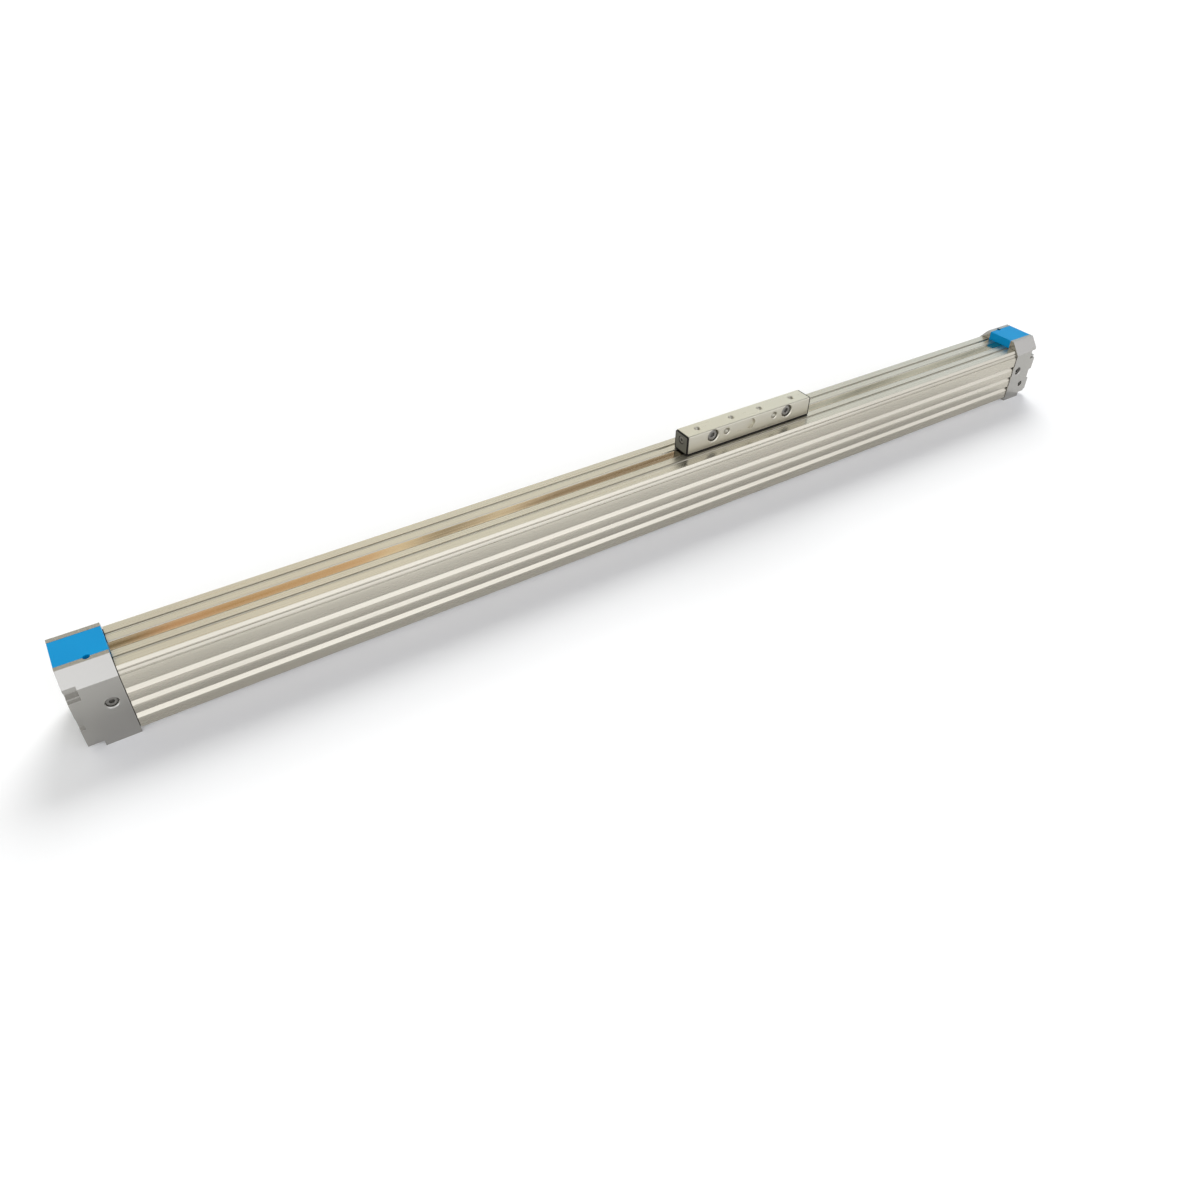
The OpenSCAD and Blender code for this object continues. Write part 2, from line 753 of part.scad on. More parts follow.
module seal_band() {
    color("#c8c4ba") across_y(seal_band_w) translate([0, seal_mid_z]) {
        translate([slide_x, 0]) mirror([0, 1]) arch_path(seal_dip, band_t / 2);
        band_runs();
    }
}

module band_runs() {
    translate([-band_half, -band_t / 2]) square([band_half + slide_x - arch_half, band_t]);
    translate([slide_x + arch_half, -band_t / 2]) square([band_half - slide_x - arch_half, band_t]);
}

module band_clamp(end) {
    color("#b3aea2") at_cap(end) translate([clamp_x, 0, clamp_z]) difference() {
        translate([0, -clamp_w / 2, 0]) cube([clamp_l, clamp_w, clamp_t]);
        for (s = [-1, 1]) translate([clamp_l / 2, s * clamp_screw_y, -eps])
            cylinder(r = clamp_screw_r + screw_play, h = clamp_t + 2 * eps);
    }
}

module left_band_clamp() {
    band_clamp("left");
}

module right_band_clamp() {
    band_clamp("right");
}

module clamp_screw(end, side) {
    color("#77777a") at_cap(end)
        translate([clamp_x + clamp_l / 2, side * clamp_screw_y, clamp_z + clamp_t + clamp_head_h])
        rotate([0, 90, 0]) socket_screw(clamp_head_r, clamp_head_h, clamp_screw_r, clamp_screw_l);
}

// Threaded plug that closes a cap's side port
module side_plug(end, side) {
    color("#8f8c86") at_cap(end) translate([side_port_x, 0, side_port_z])
        rotate([0, 0, side == FAR ? 0 : 180]) translate([0, cap_w / 2 - plug_recess, 0]) rotate([0, 0, -90])
        difference() {
            rod_x(side_port_r - screw_play, plug_l);
            translate([-eps, 0, 0]) rotate([0, 90, 0])
                cylinder(r = side_port_r * 0.55, h = plug_l / 2, $fn = 6);
        }
}

module left_side_plug() {
    side_plug("left", FAR);
}

module right_side_plug() {
    side_plug("right", NEAR);
}

// Cushion adjuster: a threaded needle that turns inside its sealing ring
module needle(end) {
    color("#8d8a84") at_cap(end) translate([needle_x, needle_y, needle_z]) rotate([-90, 0, 0]) difference() {
        rotate_extrude() polygon([[0, 0], [needle_r - 0.3, 0], [needle_r, 0.3],
            [needle_r, ring_place - ring_r - 0.1], [ring_mid_r - ring_r - 0.06, ring_place - ring_r - 0.1],
            [ring_mid_r - ring_r - 0.06, ring_place + ring_r + 0.1], [needle_r, ring_place + ring_r + 0.1],
            [needle_r, needle_body_l], [needle_stem_r, needle_body_l],
            [needle_stem_r, needle_body_l + needle_stem_l],
            [needle_tip_r, needle_body_l + needle_stem_l + needle_tip_l],
            [0, needle_body_l + needle_stem_l + needle_tip_l]]);
        translate([0, 0, -eps]) cylinder(r = needle_r * 0.5, h = 1.8 + eps, $fn = 6);
    }
}

module needle_ring(end) {
    color("#1d1c1b") at_cap(end) translate([needle_x, needle_y, needle_z]) rotate([-90, 0, 0])
        translate([0, 0, ring_place]) rotate_extrude() translate([ring_mid_r, 0]) circle(ring_r);
}

module left_needle() {
    needle("left");
}

module right_needle() {
    needle("right");
}

module left_needle_ring() {
    needle_ring("left");
}

module right_needle_ring() {
    needle_ring("right");
}

// Points of a quarter circle about a centre, from the angle a to a + 90
function quarter(centre, r, a) = [for (i = [0 : arc_steps])
    centre + r * [cos(a + 90 * i / arc_steps), sin(a + 90 * i / arc_steps)]];

// Slide block section in (Y, Z), with rounded top edges
module slide_section(half_w, low, high, fillet) {
    half = concat([[half_w, low]], quarter([half_w - fillet, high - fillet], fillet, 0));
    polygon(concat(half, mirrored(half)));
}

module countersunk_hole(r, depth) {
    translate([0, 0, -depth]) cylinder(r = r, h = depth + eps);
    translate([0, 0, -sink_w]) cylinder(r1 = r, r2 = r + sink_w + eps, h = sink_w + eps);
}

module slide_block() {
    color("#c9c4b4") at_slide() difference() {
        translate([-block_half, 0, 0]) along_x(2 * block_half)
            slide_section(slide_w / 2, slide_z, slide_top, slide_fillet);
        translate([-yoke_half, -head_w / 2, slide_z - eps])
            cube([2 * yoke_half, head_w, head_top - slide_z + eps]);
        translate([-block_half - eps, -channel_w / 2, slide_z - eps])
            cube([2 * (block_half + eps), channel_w, channel_top - slide_z + eps]);
        both_sides() {
            translate([yoke_screw_x - lug_l / 2, -lug_w / 2, head_top - eps])
                cube([lug_l, lug_w, lug_top - head_top + eps]);
            for (x = [top_inner_x, top_outer_x]) translate([x, 0, slide_top])
                countersunk_hole(top_hole_r, top_hole_depth);
            translate([yoke_screw_x, -slide_w / 2, side_z]) rotate([90, 0, 0])
                countersunk_hole(yoke_sink_r, yoke_sink);
            translate([yoke_screw_x, -slide_w / 2 - eps, side_z])
                rod_y(yoke_screw_r + screw_play, slide_w + 2 * eps);
            for (s = [0, 180]) translate([side_hole_x, 0, side_z]) rotate([0, 0, s])
                translate([0, slide_w / 2, 0]) rotate([-90, 0, 0])
                    countersunk_hole(side_hole_r, slide_w / 2 + eps);
            translate([block_half + end_plate_t - end_sink - end_screw_l - 1, 0, side_z])
                rod_x(end_screw_r + screw_play, end_screw_l + 2);
            translate([block_half - end_boss_l - lay_gap, 0, side_z])
                rod_x(end_boss_r + lay_gap, end_boss_l + lay_gap + eps);
        }
        for (s = [0, 180]) rotate([0, 0, s])
            translate([0, slide_w / 2 - pin_depth, side_z]) rod_y(pin_r, pin_depth + eps);
    }
}

module slide_end_cover(end) {
    half_w = slide_w / 2 - end_cover_inset;
    high = slide_top - end_cover_inset;
    c = end_cover_chamfer;
    half = [[half_w, wiper_z], [half_w, high - c], [half_w - c, high]];
    color("#4b4c47") at_slide_end(end) translate([block_half, 0, 0]) difference() {
        union() {
            along_x(end_plate_t) polygon(concat(half, mirrored(half)));
            translate([-end_boss_l, 0, side_z]) rod_x(end_boss_r, end_boss_l + eps);
        }
        translate([-end_boss_l - eps, 0, side_z])
            rod_x(end_screw_r + hole_play, end_boss_l + end_plate_t + 2 * eps);
        translate([end_plate_t - end_sink, 0, side_z]) rod_x(end_head_r + hole_play, end_sink + eps);
    }
}

module left_slide_cover() {
    slide_end_cover("left");
}

module right_slide_cover() {
    slide_end_cover("right");
}

module slide_cover_screw(end) {
    color("#3c3c3b") at_slide_end(end)
        translate([block_half + end_plate_t - end_sink + end_head_h, 0, side_z])
        rotate([0, 0, 180]) socket_screw(end_head_r, end_head_h, end_screw_r, end_screw_l);
}

module left_slide_cover_screw() {
    slide_cover_screw("left");
}

module right_slide_cover_screw() {
    slide_cover_screw("right");
}

// Wiper: a closed frame under the slide block
module slide_wiper() {
    outer = slide_w / 2 + wiper_out;
    inner = outer - wiper_w;
    color("#1c1a16") at_slide() translate([0, 0, wiper_z]) difference() {
        translate([-block_half, -outer, 0]) cube([2 * block_half, 2 * outer, wiper_t]);
        translate([-block_half + wiper_w, -inner, -eps])
            cube([2 * (block_half - wiper_w), 2 * inner, wiper_t + 2 * eps]);
    }
}

// Shoe that presses the cover band back into its seat
module band_shoe(end) {
    w = channel_w - 2 * lay_gap;
    l = block_half - wiper_w - arch_half + 2;
    nose = 1.2;
    low = seat_z + band_t + run_gap;
    color("#e0dccf") at_slide_end(end) translate([arch_half - 2, 0, 0]) across_y(w) {
        translate([nose, low]) square([l - nose, channel_top - low]);
        translate([0, low + nose]) square([l, channel_top - low - nose]);
        translate([nose, low + nose]) circle(nose);
    }
}

module left_band_shoe() {
    band_shoe("left");
}

module right_band_shoe() {
    band_shoe("right");
}

// Yoke: core between the pistons, neck through the slot, head and lugs inside the slide
module drive_yoke() {
    gap = band_t / 2 + band_gap;
    color("#8b8b8a") at_slide() difference() {
        union() {
            translate([-yoke_half, -head_w / 2, head_z]) cube([2 * yoke_half, head_w, head_top - head_z]);
            both_sides() translate([yoke_screw_x - lug_l / 2, -lug_w / 2, head_top - eps])
                cube([lug_l, lug_w, lug_top - head_top + eps]);
            translate([-neck_half, -neck_w / 2, bore_z]) cube([2 * neck_half, neck_w, head_z - bore_z + eps]);
            translate([-yoke_half, 0, bore_z]) intersection() {
                rod_x(core_r, 2 * yoke_half);
                translate([0, -core_w / 2, -bore_r]) cube([2 * yoke_half, core_w, bore_d]);
            }
            translate([-yoke_half - dowel_l, 0, bore_z]) rod_x(dowel_r, 2 * (yoke_half + dowel_l));
        }
        across_y(channel_w - 0.3) translate([0, cover_mid_z]) arch_path(cover_rise, gap);
        across_y(seal_seat_w) translate([0, seal_mid_z]) mirror([0, 1]) arch_path(seal_dip, gap);
        both_sides() {
            translate([neck_half + 1, -seal_seat_w / 2, seal_mid_z - seal_dip])
                cube([yoke_half - neck_half, seal_seat_w, bore_r]);
            translate([yoke_screw_x, -slide_w / 2, side_z]) rod_y(yoke_screw_r + screw_play, slide_w);
        }
    }
}

module yoke_screw(end) {
    color("#5d5d5c") at_slide_end(end)
        translate([yoke_screw_x, -slide_w / 2 + yoke_sink - yoke_head_h, side_z])
        rotate([0, 0, 90]) socket_screw(yoke_head_r, yoke_head_h, yoke_screw_r, slide_w - yoke_sink);
}

module left_yoke_screw() {
    yoke_screw("left");
}

module right_yoke_screw() {
    yoke_screw("right");
}

// Pistons and their rings, drawn on the slide's +X half
module piston(end) {
    color("#d7d2c6") at_slide_end(end) difference() {
        translate([yoke_half, 0, bore_z]) rod_x(piston_r, piston_end - yoke_half);
        translate([yoke_half - eps, 0, bore_z]) rod_x(dowel_r, dowel_l + 1 + eps);
        translate([piston_end - cushion_depth, 0, bore_z]) rod_x(cushion_bore_r, cushion_depth + eps);
        translate([piston_end - cushion_seal_t, 0, bore_z]) rod_x(cushion_seal_r, cushion_seal_t + eps);
        piston_groove(seal_x, piston_seal_l, piston_seal_depth);
        piston_groove(wear_x, wear_l, wear_depth);
        piston_groove(magnet_x, magnet_l, magnet_depth);
        translate([yoke_half - eps, -seal_seat_w / 2, seal_mid_z - band_t / 2 - seal_dip / 2 - run_gap])
            cube([arch_half + 1 - yoke_half + eps, seal_seat_w, bore_r]);
    }
}

module piston_groove(x, l, depth) {
    translate([x, 0, bore_z]) rotate([0, 90, 0]) rotate_extrude()
        translate([piston_r - depth, 0]) square([depth + eps, l]);
}

module piston_ring(end, x, l, depth, outer_r) {
    at_slide_end(end) translate([x, 0, bore_z]) rotate([0, 90, 0]) rotate_extrude()
        translate([piston_r - depth + lay_gap, lay_gap])
        square([outer_r - piston_r + depth - lay_gap, l - 2 * lay_gap]);
}

// Lip seal: its two lips open towards the piston's outer face
module piston_seal(end) {
    low = piston_r - piston_seal_depth + lay_gap;
    high = bore_r - fit_gap;
    l = piston_seal_l - 2 * lay_gap;
    color("#1d1c1b") at_slide_end(end)
        translate([seal_x + lay_gap, 0, bore_z]) rotate([0, 90, 0]) rotate_extrude()
        polygon([[low, 0], [piston_r - 0.2, 0], [high, l - 0.6], [high, l - 0.2], [high - 0.4, l],
            [(low + high) / 2, l * 0.45], [low + 0.6, l], [low, l]]);
}

module left_piston() {
    piston("left");
}

module right_piston() {
    piston("right");
}

module left_piston_seal() {
    piston_seal("left");
}

module right_piston_seal() {
    piston_seal("right");
}

module wear_ring(end) {
    color("#d9c9a0") piston_ring(end, wear_x, wear_l, wear_depth, bore_r - fit_gap);
}

module left_wear_ring() {
    wear_ring("left");
}

module right_wear_ring() {
    wear_ring("right");
}

module magnet(end) {
    color("#3a3a3c") piston_ring(end, magnet_x, magnet_l, magnet_depth, piston_r);
}

module left_magnet() {
    magnet("left");
}

module right_magnet() {
    magnet("right");
}

module cushion_seal(end) {
    color("#1d1c1b") at_slide_end(end) translate([piston_end - cushion_seal_t, 0, bore_z]) difference() {
        rod_x(cushion_seal_r - lay_gap, cushion_seal_t);
        translate([-eps, 0, 0]) rod_x(tube_r + fit_gap, cushion_seal_t + 2 * eps);
    }
}

module left_cushion_seal() {
    cushion_seal("left");
}

module right_cushion_seal() {
    cushion_seal("right");
}

barrel_profile();
left_end_cap();
right_end_cap();
left_cap_cover();
right_cap_cover();
left_cap_gasket();
right_cap_gasket();
cap_screw("left", 1);  // left_cap_screw_1
cap_screw("left", 2);  // left_cap_screw_2
cap_screw("left", 3);  // left_cap_screw_3
cap_screw("left", 4);  // left_cap_screw_4
cap_screw("right", 1);  // right_cap_screw_1
cap_screw("right", 2);  // right_cap_screw_2
cap_screw("right", 3);  // right_cap_screw_3
cap_screw("right", 4);  // right_cap_screw_4
left_cushion_tube();
right_cushion_tube();
left_bore_seal();
right_bore_seal();
cover_band();
seal_band();
left_band_clamp();
right_band_clamp();
clamp_screw("left", NEAR);  // left_clamp_screw_1
clamp_screw("left", FAR);  // left_clamp_screw_2
clamp_screw("right", NEAR);  // right_clamp_screw_1
clamp_screw("right", FAR);  // right_clamp_screw_2
left_side_plug();
right_side_plug();
left_needle();
left_needle_ring();
right_needle();
right_needle_ring();
slide_block();
left_slide_cover();
right_slide_cover();
left_slide_cover_screw();
right_slide_cover_screw();
slide_wiper();
left_band_shoe();
right_band_shoe();
drive_yoke();
left_yoke_screw();
right_yoke_screw();
left_piston();
right_piston();
left_piston_seal();
right_piston_seal();
left_wear_ring();
right_wear_ring();
left_magnet();
right_magnet();
left_cushion_seal();
right_cushion_seal();
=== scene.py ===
"""Looks of a rodless pneumatic cylinder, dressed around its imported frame."""

from __future__ import annotations

import logging
import math
from dataclasses import dataclass
from enum import Enum
from typing import Any, Iterable, Sequence

import bmesh
import bpy
from mathutils import Matrix, Vector

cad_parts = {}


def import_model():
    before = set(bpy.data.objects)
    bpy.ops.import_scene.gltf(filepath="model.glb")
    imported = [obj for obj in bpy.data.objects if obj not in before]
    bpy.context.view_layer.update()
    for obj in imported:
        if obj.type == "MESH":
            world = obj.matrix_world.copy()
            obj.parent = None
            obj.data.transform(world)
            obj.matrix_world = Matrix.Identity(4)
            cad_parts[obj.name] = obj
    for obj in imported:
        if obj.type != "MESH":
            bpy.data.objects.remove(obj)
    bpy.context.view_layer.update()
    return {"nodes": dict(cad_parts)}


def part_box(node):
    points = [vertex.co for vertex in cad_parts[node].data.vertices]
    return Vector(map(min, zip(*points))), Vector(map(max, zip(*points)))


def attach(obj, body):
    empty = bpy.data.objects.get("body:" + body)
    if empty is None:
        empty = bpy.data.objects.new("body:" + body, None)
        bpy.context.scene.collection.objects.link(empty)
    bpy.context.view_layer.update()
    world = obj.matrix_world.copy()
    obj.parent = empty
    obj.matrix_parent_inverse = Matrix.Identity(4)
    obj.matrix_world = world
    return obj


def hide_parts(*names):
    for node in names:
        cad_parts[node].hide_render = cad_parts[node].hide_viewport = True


LOG = logging.getLogger("rodless_cylinder")
MM = 0.001

BARREL_BODY = "barrel"
SLIDE_BODY = "slide"

# Edges sharper than this are rounded when a node is remade.
SHARP_DEG = 28.0
# Faces that turn more than this from each other stay apart in the shading of a remade node or a band.
SMOOTH_DEG = 50.0


class End(Enum):
    """The two ends of the cylinder, with the sign of the outward X direction."""

    LEFT = -1
    RIGHT = 1

    @property
    def label(self) -> str:
        """Name of the end as the frame's nodes spell it."""
        return self.name.lower()


def linear(hex_colour: str) -> tuple[float, float, float, float]:
    """Turn an sRGB hex colour to linear RGBA.

    Args:
        hex_colour: Six hex digits, with or without a leading hash.

    Returns:
        Linear red, green, blue and an alpha of 1.
    """
    digits = hex_colour.lstrip("#")
    parts = [int(digits[i : i + 2], 16) / 255 for i in (0, 2, 4)]
    red, green, blue = (c / 12.92 if c <= 0.04045 else ((c + 0.055) / 1.055) ** 2.4 for c in parts)
    return (red, green, blue, 1.0)


def scaled(hex_colour: str, level: float) -> tuple[float, float, float, float]:
    """Linear RGBA of a hex colour, brightened or dimmed by a level."""
    red, green, blue, _ = linear(hex_colour)
    return (red * level, green * level, blue * level, 1.0)


def add_node(
    tree: bpy.types.NodeTree,
    kind: str,
    settings: dict[str | int, Any] | None = None,
    links: dict[str | int, bpy.types.NodeSocket] | None = None,
) -> bpy.types.Node:
    """Add a node, set its properties or input values, and link its inputs.

    Args:
        tree: Node tree that takes the node.
        kind: Blender's type name of the node.
        settings: Property names, or input names or numbers, with their values.
        links: Input names or numbers, with the output sockets that feed them.

    Returns:
        The new node.
    """
    node = tree.nodes.new(kind)
    for name, value in (settings or {}).items():
        if isinstance(name, str) and name in node.bl_rna.properties:
            setattr(node, name, value)
        else:
            node.inputs[name].default_value = value
    for name, socket in (links or {}).items():
        tree.links.new(socket, node.inputs[name])
    return node


def new_material(name: str) -> tuple[bpy.types.Material, bpy.types.NodeTree]:
    """Make an empty node material.

    Args:
        name: Name of the material.

    Returns:
        The material and its node tree, with every node removed.
    """
    material = bpy.data.materials.new(name)
    material.use_nodes = True
    material.node_tree.nodes.clear()
    return material, material.node_tree


def colour_stops(ramp_node: bpy.types.Node, stops: Sequence[tuple[float, str]]) -> None:
    """Set a colour ramp's stops.

    Args:
        ramp_node: The colour ramp node.
        stops: Positions from 0 to 1 with sRGB hex colours, at least two.
    """
    elements = ramp_node.color_ramp.elements
    while len(elements) > len(stops):
        elements.remove(elements[-1])
    for index, (place, colour) in enumerate(stops):
        element = elements[index] if index < len(elements) else elements.new(place)
        element.position = place
        element.color = linear(colour)


class Lay(Enum):
    """Direction of the fine lines that a metal's making leaves, as stretch along X, Y and Z."""

    EXTRUDED = (0.004, 1.0, 1.0)
    GROUND = (0.02, 1.0, 1.0)
    BLASTED = (1.0, 1.0, 1.0)
    TURNED = (1.0, 0.05, 0.05)


@dataclass(frozen=True)
class SatinMetal:
    """A metal with a satin skin.

    The lines or pits of its making break up the highlight, and a cloudy change of tone keeps large
    flats from looking printed.

    Attributes:
        name: Name of the material.
        colour: sRGB hex of the metal's body tone.
        cloud: sRGB hex of the tone that drifts through it.
        metallic: Share of metal in the shader; the rest is the oxide's own scatter.
        roughness: Mean roughness of the skin.
        lay: Direction of the fine lines.
        line_mm: Spacing of the lines or pits in millimetres.
        depth_mm: Height of the lines or pits in millimetres.
        uneven: How far the roughness wanders to either side of its mean.
        bump: Strength of the lines in the shading.
        clouds_per_m: Clouds of tone in a metre.
    """

    name: str
    colour: str
    cloud: str
    metallic: float
    roughness: float
    lay: Lay
    line_mm: float
    depth_mm: float
    uneven: float = 0.05
    bump: float = 0.6
    clouds_per_m: float = 9.0

    def build(self) -> bpy.types.Material:
        """Make the material.

        Returns:
            A node material.
        """
        material, tree = new_material(self.name)
        place = add_node(tree, "ShaderNodeTexCoord")
        stretch = add_node(
            tree, "ShaderNodeMapping", {"Scale": self.lay.value}, {"Vector": place.outputs["Object"]}
        )
        lines = add_node(
            tree,
            "ShaderNodeTexNoise",
            {"Scale": 1 / (self.line_mm * MM * 2), "Detail": 3.0, "Roughness": 0.6},
            {"Vector": stretch.outputs["Vector"]},
        )
        clouds = add_node(
            tree,
            "ShaderNodeTexNoise",
            {"Scale": self.clouds_per_m, "Detail": 2.0},
            {"Vector": place.outputs["Object"]},
        )
        tone = add_node(tree, "ShaderNodeValToRGB", {}, {"Fac": clouds.outputs["Fac"]})
        colour_stops(tone, [(0.35, self.colour), (0.7, self.cloud)])
        gloss = add_node(
            tree,
            "ShaderNodeMapRange",
            {
                "From Min": 0.3,
                "From Max": 0.7,
                "To Min": self.roughness - self.uneven,
                "To Max": self.roughness + self.uneven,
            },
            {"Value": lines.outputs["Fac"]},
        )
        bump = add_node(
            tree,
            "ShaderNodeBump",
            {"Strength": self.bump, "Distance": self.depth_mm * MM},
            {"Height": lines.outputs["Fac"]},
        )
        shader = add_node(
            tree,
            "ShaderNodeBsdfPrincipled",
            {"Metallic": self.metallic},
            {
                "Base Color": tone.outputs["Color"],
                "Roughness": gloss.outputs["Result"],
                "Normal": bump.outputs["Normal"],
            },
        )
        add_node(tree, "ShaderNodeOutputMaterial", {}, {"Surface": shader.outputs["BSDF"]})
        return material


@dataclass(frozen=True)
class MouldedPlastic:
    """A moulded polymer: fine spark-eroded texture from the tool and a soft, even gloss.

    Attributes:
        name: Name of the material.
        colour: sRGB hex of the plastic.
        shade: sRGB hex of its slightly darker flow clouds.
        roughness: Roughness of the skin.
        grain_mm: Grain of the mould texture in millimetres.
        depth_mm: Height of the grain in millimetres.
        sheen: Strength of the skin's reflection, 0.5 for a polished one.
        bump: Strength of the grain in the shading.
        clouds_per_m: Flow clouds in a metre.
    """

    name: str
    colour: str
    shade: str
    roughness: float
    grain_mm: float
    depth_mm: float
    sheen: float = 0.3
    bump: float = 0.5
    clouds_per_m: float = 40.0

    def build(self) -> bpy.types.Material:
        """Make the material.

        Returns:
            A node material.
        """
        material, tree = new_material(self.name)
        place = add_node(tree, "ShaderNodeTexCoord")
        grain = add_node(
            tree,
            "ShaderNodeTexNoise",
            {"Scale": 1 / (self.grain_mm * MM * 2), "Detail": 2.0},
            {"Vector": place.outputs["Object"]},
        )
        flow = add_node(
            tree,
            "ShaderNodeTexNoise",
            {"Scale": self.clouds_per_m, "Detail": 1.0},
            {"Vector": place.outputs["Object"]},
        )
        tone = add_node(tree, "ShaderNodeValToRGB", {}, {"Fac": flow.outputs["Fac"]})
        colour_stops(tone, [(0.3, self.colour), (0.75, self.shade)])
        bump = add_node(
            tree,
            "ShaderNodeBump",
            {"Strength": self.bump, "Distance": self.depth_mm * MM},
            {"Height": grain.outputs["Fac"]},
        )
        shader = add_node(
            tree,
            "ShaderNodeBsdfPrincipled",
            {"Roughness": self.roughness, "Specular IOR Level": self.sheen},
            {"Base Color": tone.outputs["Color"], "Normal": bump.outputs["Normal"]},
        )
        add_node(tree, "ShaderNodeOutputMaterial", {}, {"Surface": shader.outputs["BSDF"]})
        return material


# Extruded aluminium, satin anodised: die lines run along the barrel and soften its long highlights.
EXTRUDED_ALUMINIUM = SatinMetal(
    "extruded_anodised_aluminium", "#beb9ac", "#b8b3a6", 0.96, 0.29, Lay.EXTRUDED, 0.3, 0.003
)
# Cast and milled aluminium, bead blasted and anodised: an even, cool grey without lines.
CAP_ALUMINIUM = SatinMetal(
    "blasted_anodised_aluminium", "#a8a6a1", "#a2a09b", 0.94, 0.19, Lay.BLASTED, 0.3, 0.0035
)
# Milled aluminium bar, satin anodised: a little warmer and brighter than the caps.
SLIDE_ALUMINIUM = SatinMetal(
    "milled_anodised_aluminium", "#c9c5b7", "#c3bfb1", 0.92, 0.32, Lay.GROUND, 0.3, 0.008
)
# Turned aluminium, plain: concentric tool marks round each part's axis.
TURNED_ALUMINIUM = SatinMetal("turned_aluminium", "#cfcbc1", "#c2beb4", 0.9, 0.3, Lay.TURNED, 0.25, 0.01)
# Cold-rolled stainless strip, mirror polished: nearly clean reflections with faint rolling lines.
BAND_STEEL = SatinMetal("polished_stainless_strip", "#cfc3ae", "#c2b49d", 1.0, 0.09, Lay.EXTRUDED, 0.2, 0.001)
# Heat-treated screw steel, zinc plated and passivated: grey with a dull sheen.
SCREW_STEEL = SatinMetal("zinc_plated_steel", "#8f8d88", "#7d7b77", 0.9, 0.34, Lay.BLASTED, 0.15, 0.006)
# Milled alloy steel, lightly oiled: darker, with cutter lines.
YOKE_STEEL = SatinMetal("milled_alloy_steel", "#84827e", "#75736f", 1.0, 0.38, Lay.GROUND, 0.3, 0.01)
# Blue moulded polyamide: clean, strong blue that hardly mirrors the room.
BLUE_POLYAMIDE = MouldedPlastic("moulded_blue_polyamide", "#008cc6", "#0088c2", 0.5, 0.25, 0.006, 0.1)
# Grey moulded acetal: a flat, dull panel inside a black rubber rim; that rim is partly painted shade,
# standing in for the shadow gap round the panel.
DARK_ACETAL = MouldedPlastic("moulded_dark_acetal", "#67665c", "#5f5e55", 0.5, 0.2, 0.008)
# Ivory bearing plastic: waxy and pale, as on guide shoes and wear rings.
BEARING_PLASTIC = MouldedPlastic("moulded_bearing_plastic", "#ddd3b4", "#d2c8a9", 0.45, 0.2, 0.004)
# Black nitrile rubber: no shine but at grazing angles.
NITRILE_RUBBER = MouldedPlastic("moulded_nitrile_rubber", "#191612", "#13110e", 0.62, 0.15, 0.01, 0.2)
# Bonded magnet: charcoal, slightly grainy.
BONDED_MAGNET = MouldedPlastic("bonded_ferrite", "#38383b", "#2e2e31", 0.55, 0.12, 0.01)


class Workshop:
    """Builds materials once and dresses pieces with them."""

    def __init__(self) -> None:
        """Start with no materials built."""
        self._built: dict[str, bpy.types.Material] = {}

    def material(self, finish: SatinMetal | MouldedPlastic) -> bpy.types.Material:
        """Give a finish's material, built on first use."""
        if finish.name not in self._built:
            self._built[finish.name] = finish.build()
        return self._built[finish.name]

    def dress(self, piece: bpy.types.Object, finish: SatinMetal | MouldedPlastic) -> bpy.types.Object:
        """Give a piece one material on all its faces.

        Args:
            piece: A mesh object.
            finish: The finish to give it.

        Returns:
            The same piece.
        """
        piece.data.materials.clear()
        piece.data.materials.append(self.material(finish))
        return piece


def even_normals(data: bpy.types.Mesh, smooth_deg: float) -> None:
    """Shade a mesh so that its large flats stay flat and its small faces blend into them.

    Each corner's normal is the mean of the faces round its vertex that lie within the angle of its
    own face, weighted by their areas.

    Args:
        data: The mesh.
        smooth_deg: Faces that turn more than this from a corner's face don't count in it.
    """
    limit = math.cos(math.radians(smooth_deg))
    faces: list[tuple[Vector, float]] = [(p.normal.copy(), p.area) for p in data.polygons]
    round_vertex: list[list[int]] = [[] for _ in data.vertices]
    for polygon in data.polygons:
        for vertex in polygon.vertices:
            round_vertex[vertex].append(polygon.index)
    normals = []
    for polygon in data.polygons:
        own = faces[polygon.index][0]
        for vertex in polygon.vertices:
            total = Vector((0.0, 0.0, 0.0))
            for index in round_vertex[vertex]:
                normal, area = faces[index]
                if normal.dot(own) >= limit:
                    total += normal * area
            normals.append(total.normalized() if total.length > 0.0 else own)
    data.normals_split_custom_set(normals)


def mesh_piece(name: str, mesh: bmesh.types.BMesh, body: str, smooth_deg: float) -> bpy.types.Object:
    """Turn a BMesh into an object that rides on a body.

    Args:
        name: Name of the piece.
        mesh: Its mesh, in metres in the frame; it is freed.
        body: Body that carries the piece.
        smooth_deg: Faces that turn more than this from each other stay apart in the shading.

    Returns:
        The new object.
    """
    bmesh.ops.recalc_face_normals(mesh, faces=mesh.faces)
    data = bpy.data.meshes.new(name)
    mesh.to_mesh(data)
    mesh.free()
    data.shade_smooth()
    even_normals(data, smooth_deg)
    piece = bpy.data.objects.new(name, data)
    bpy.context.scene.collection.objects.link(piece)
    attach(piece, body)
    LOG.info("piece %s: %d faces on %s", name, len(data.polygons), body)
    return piece


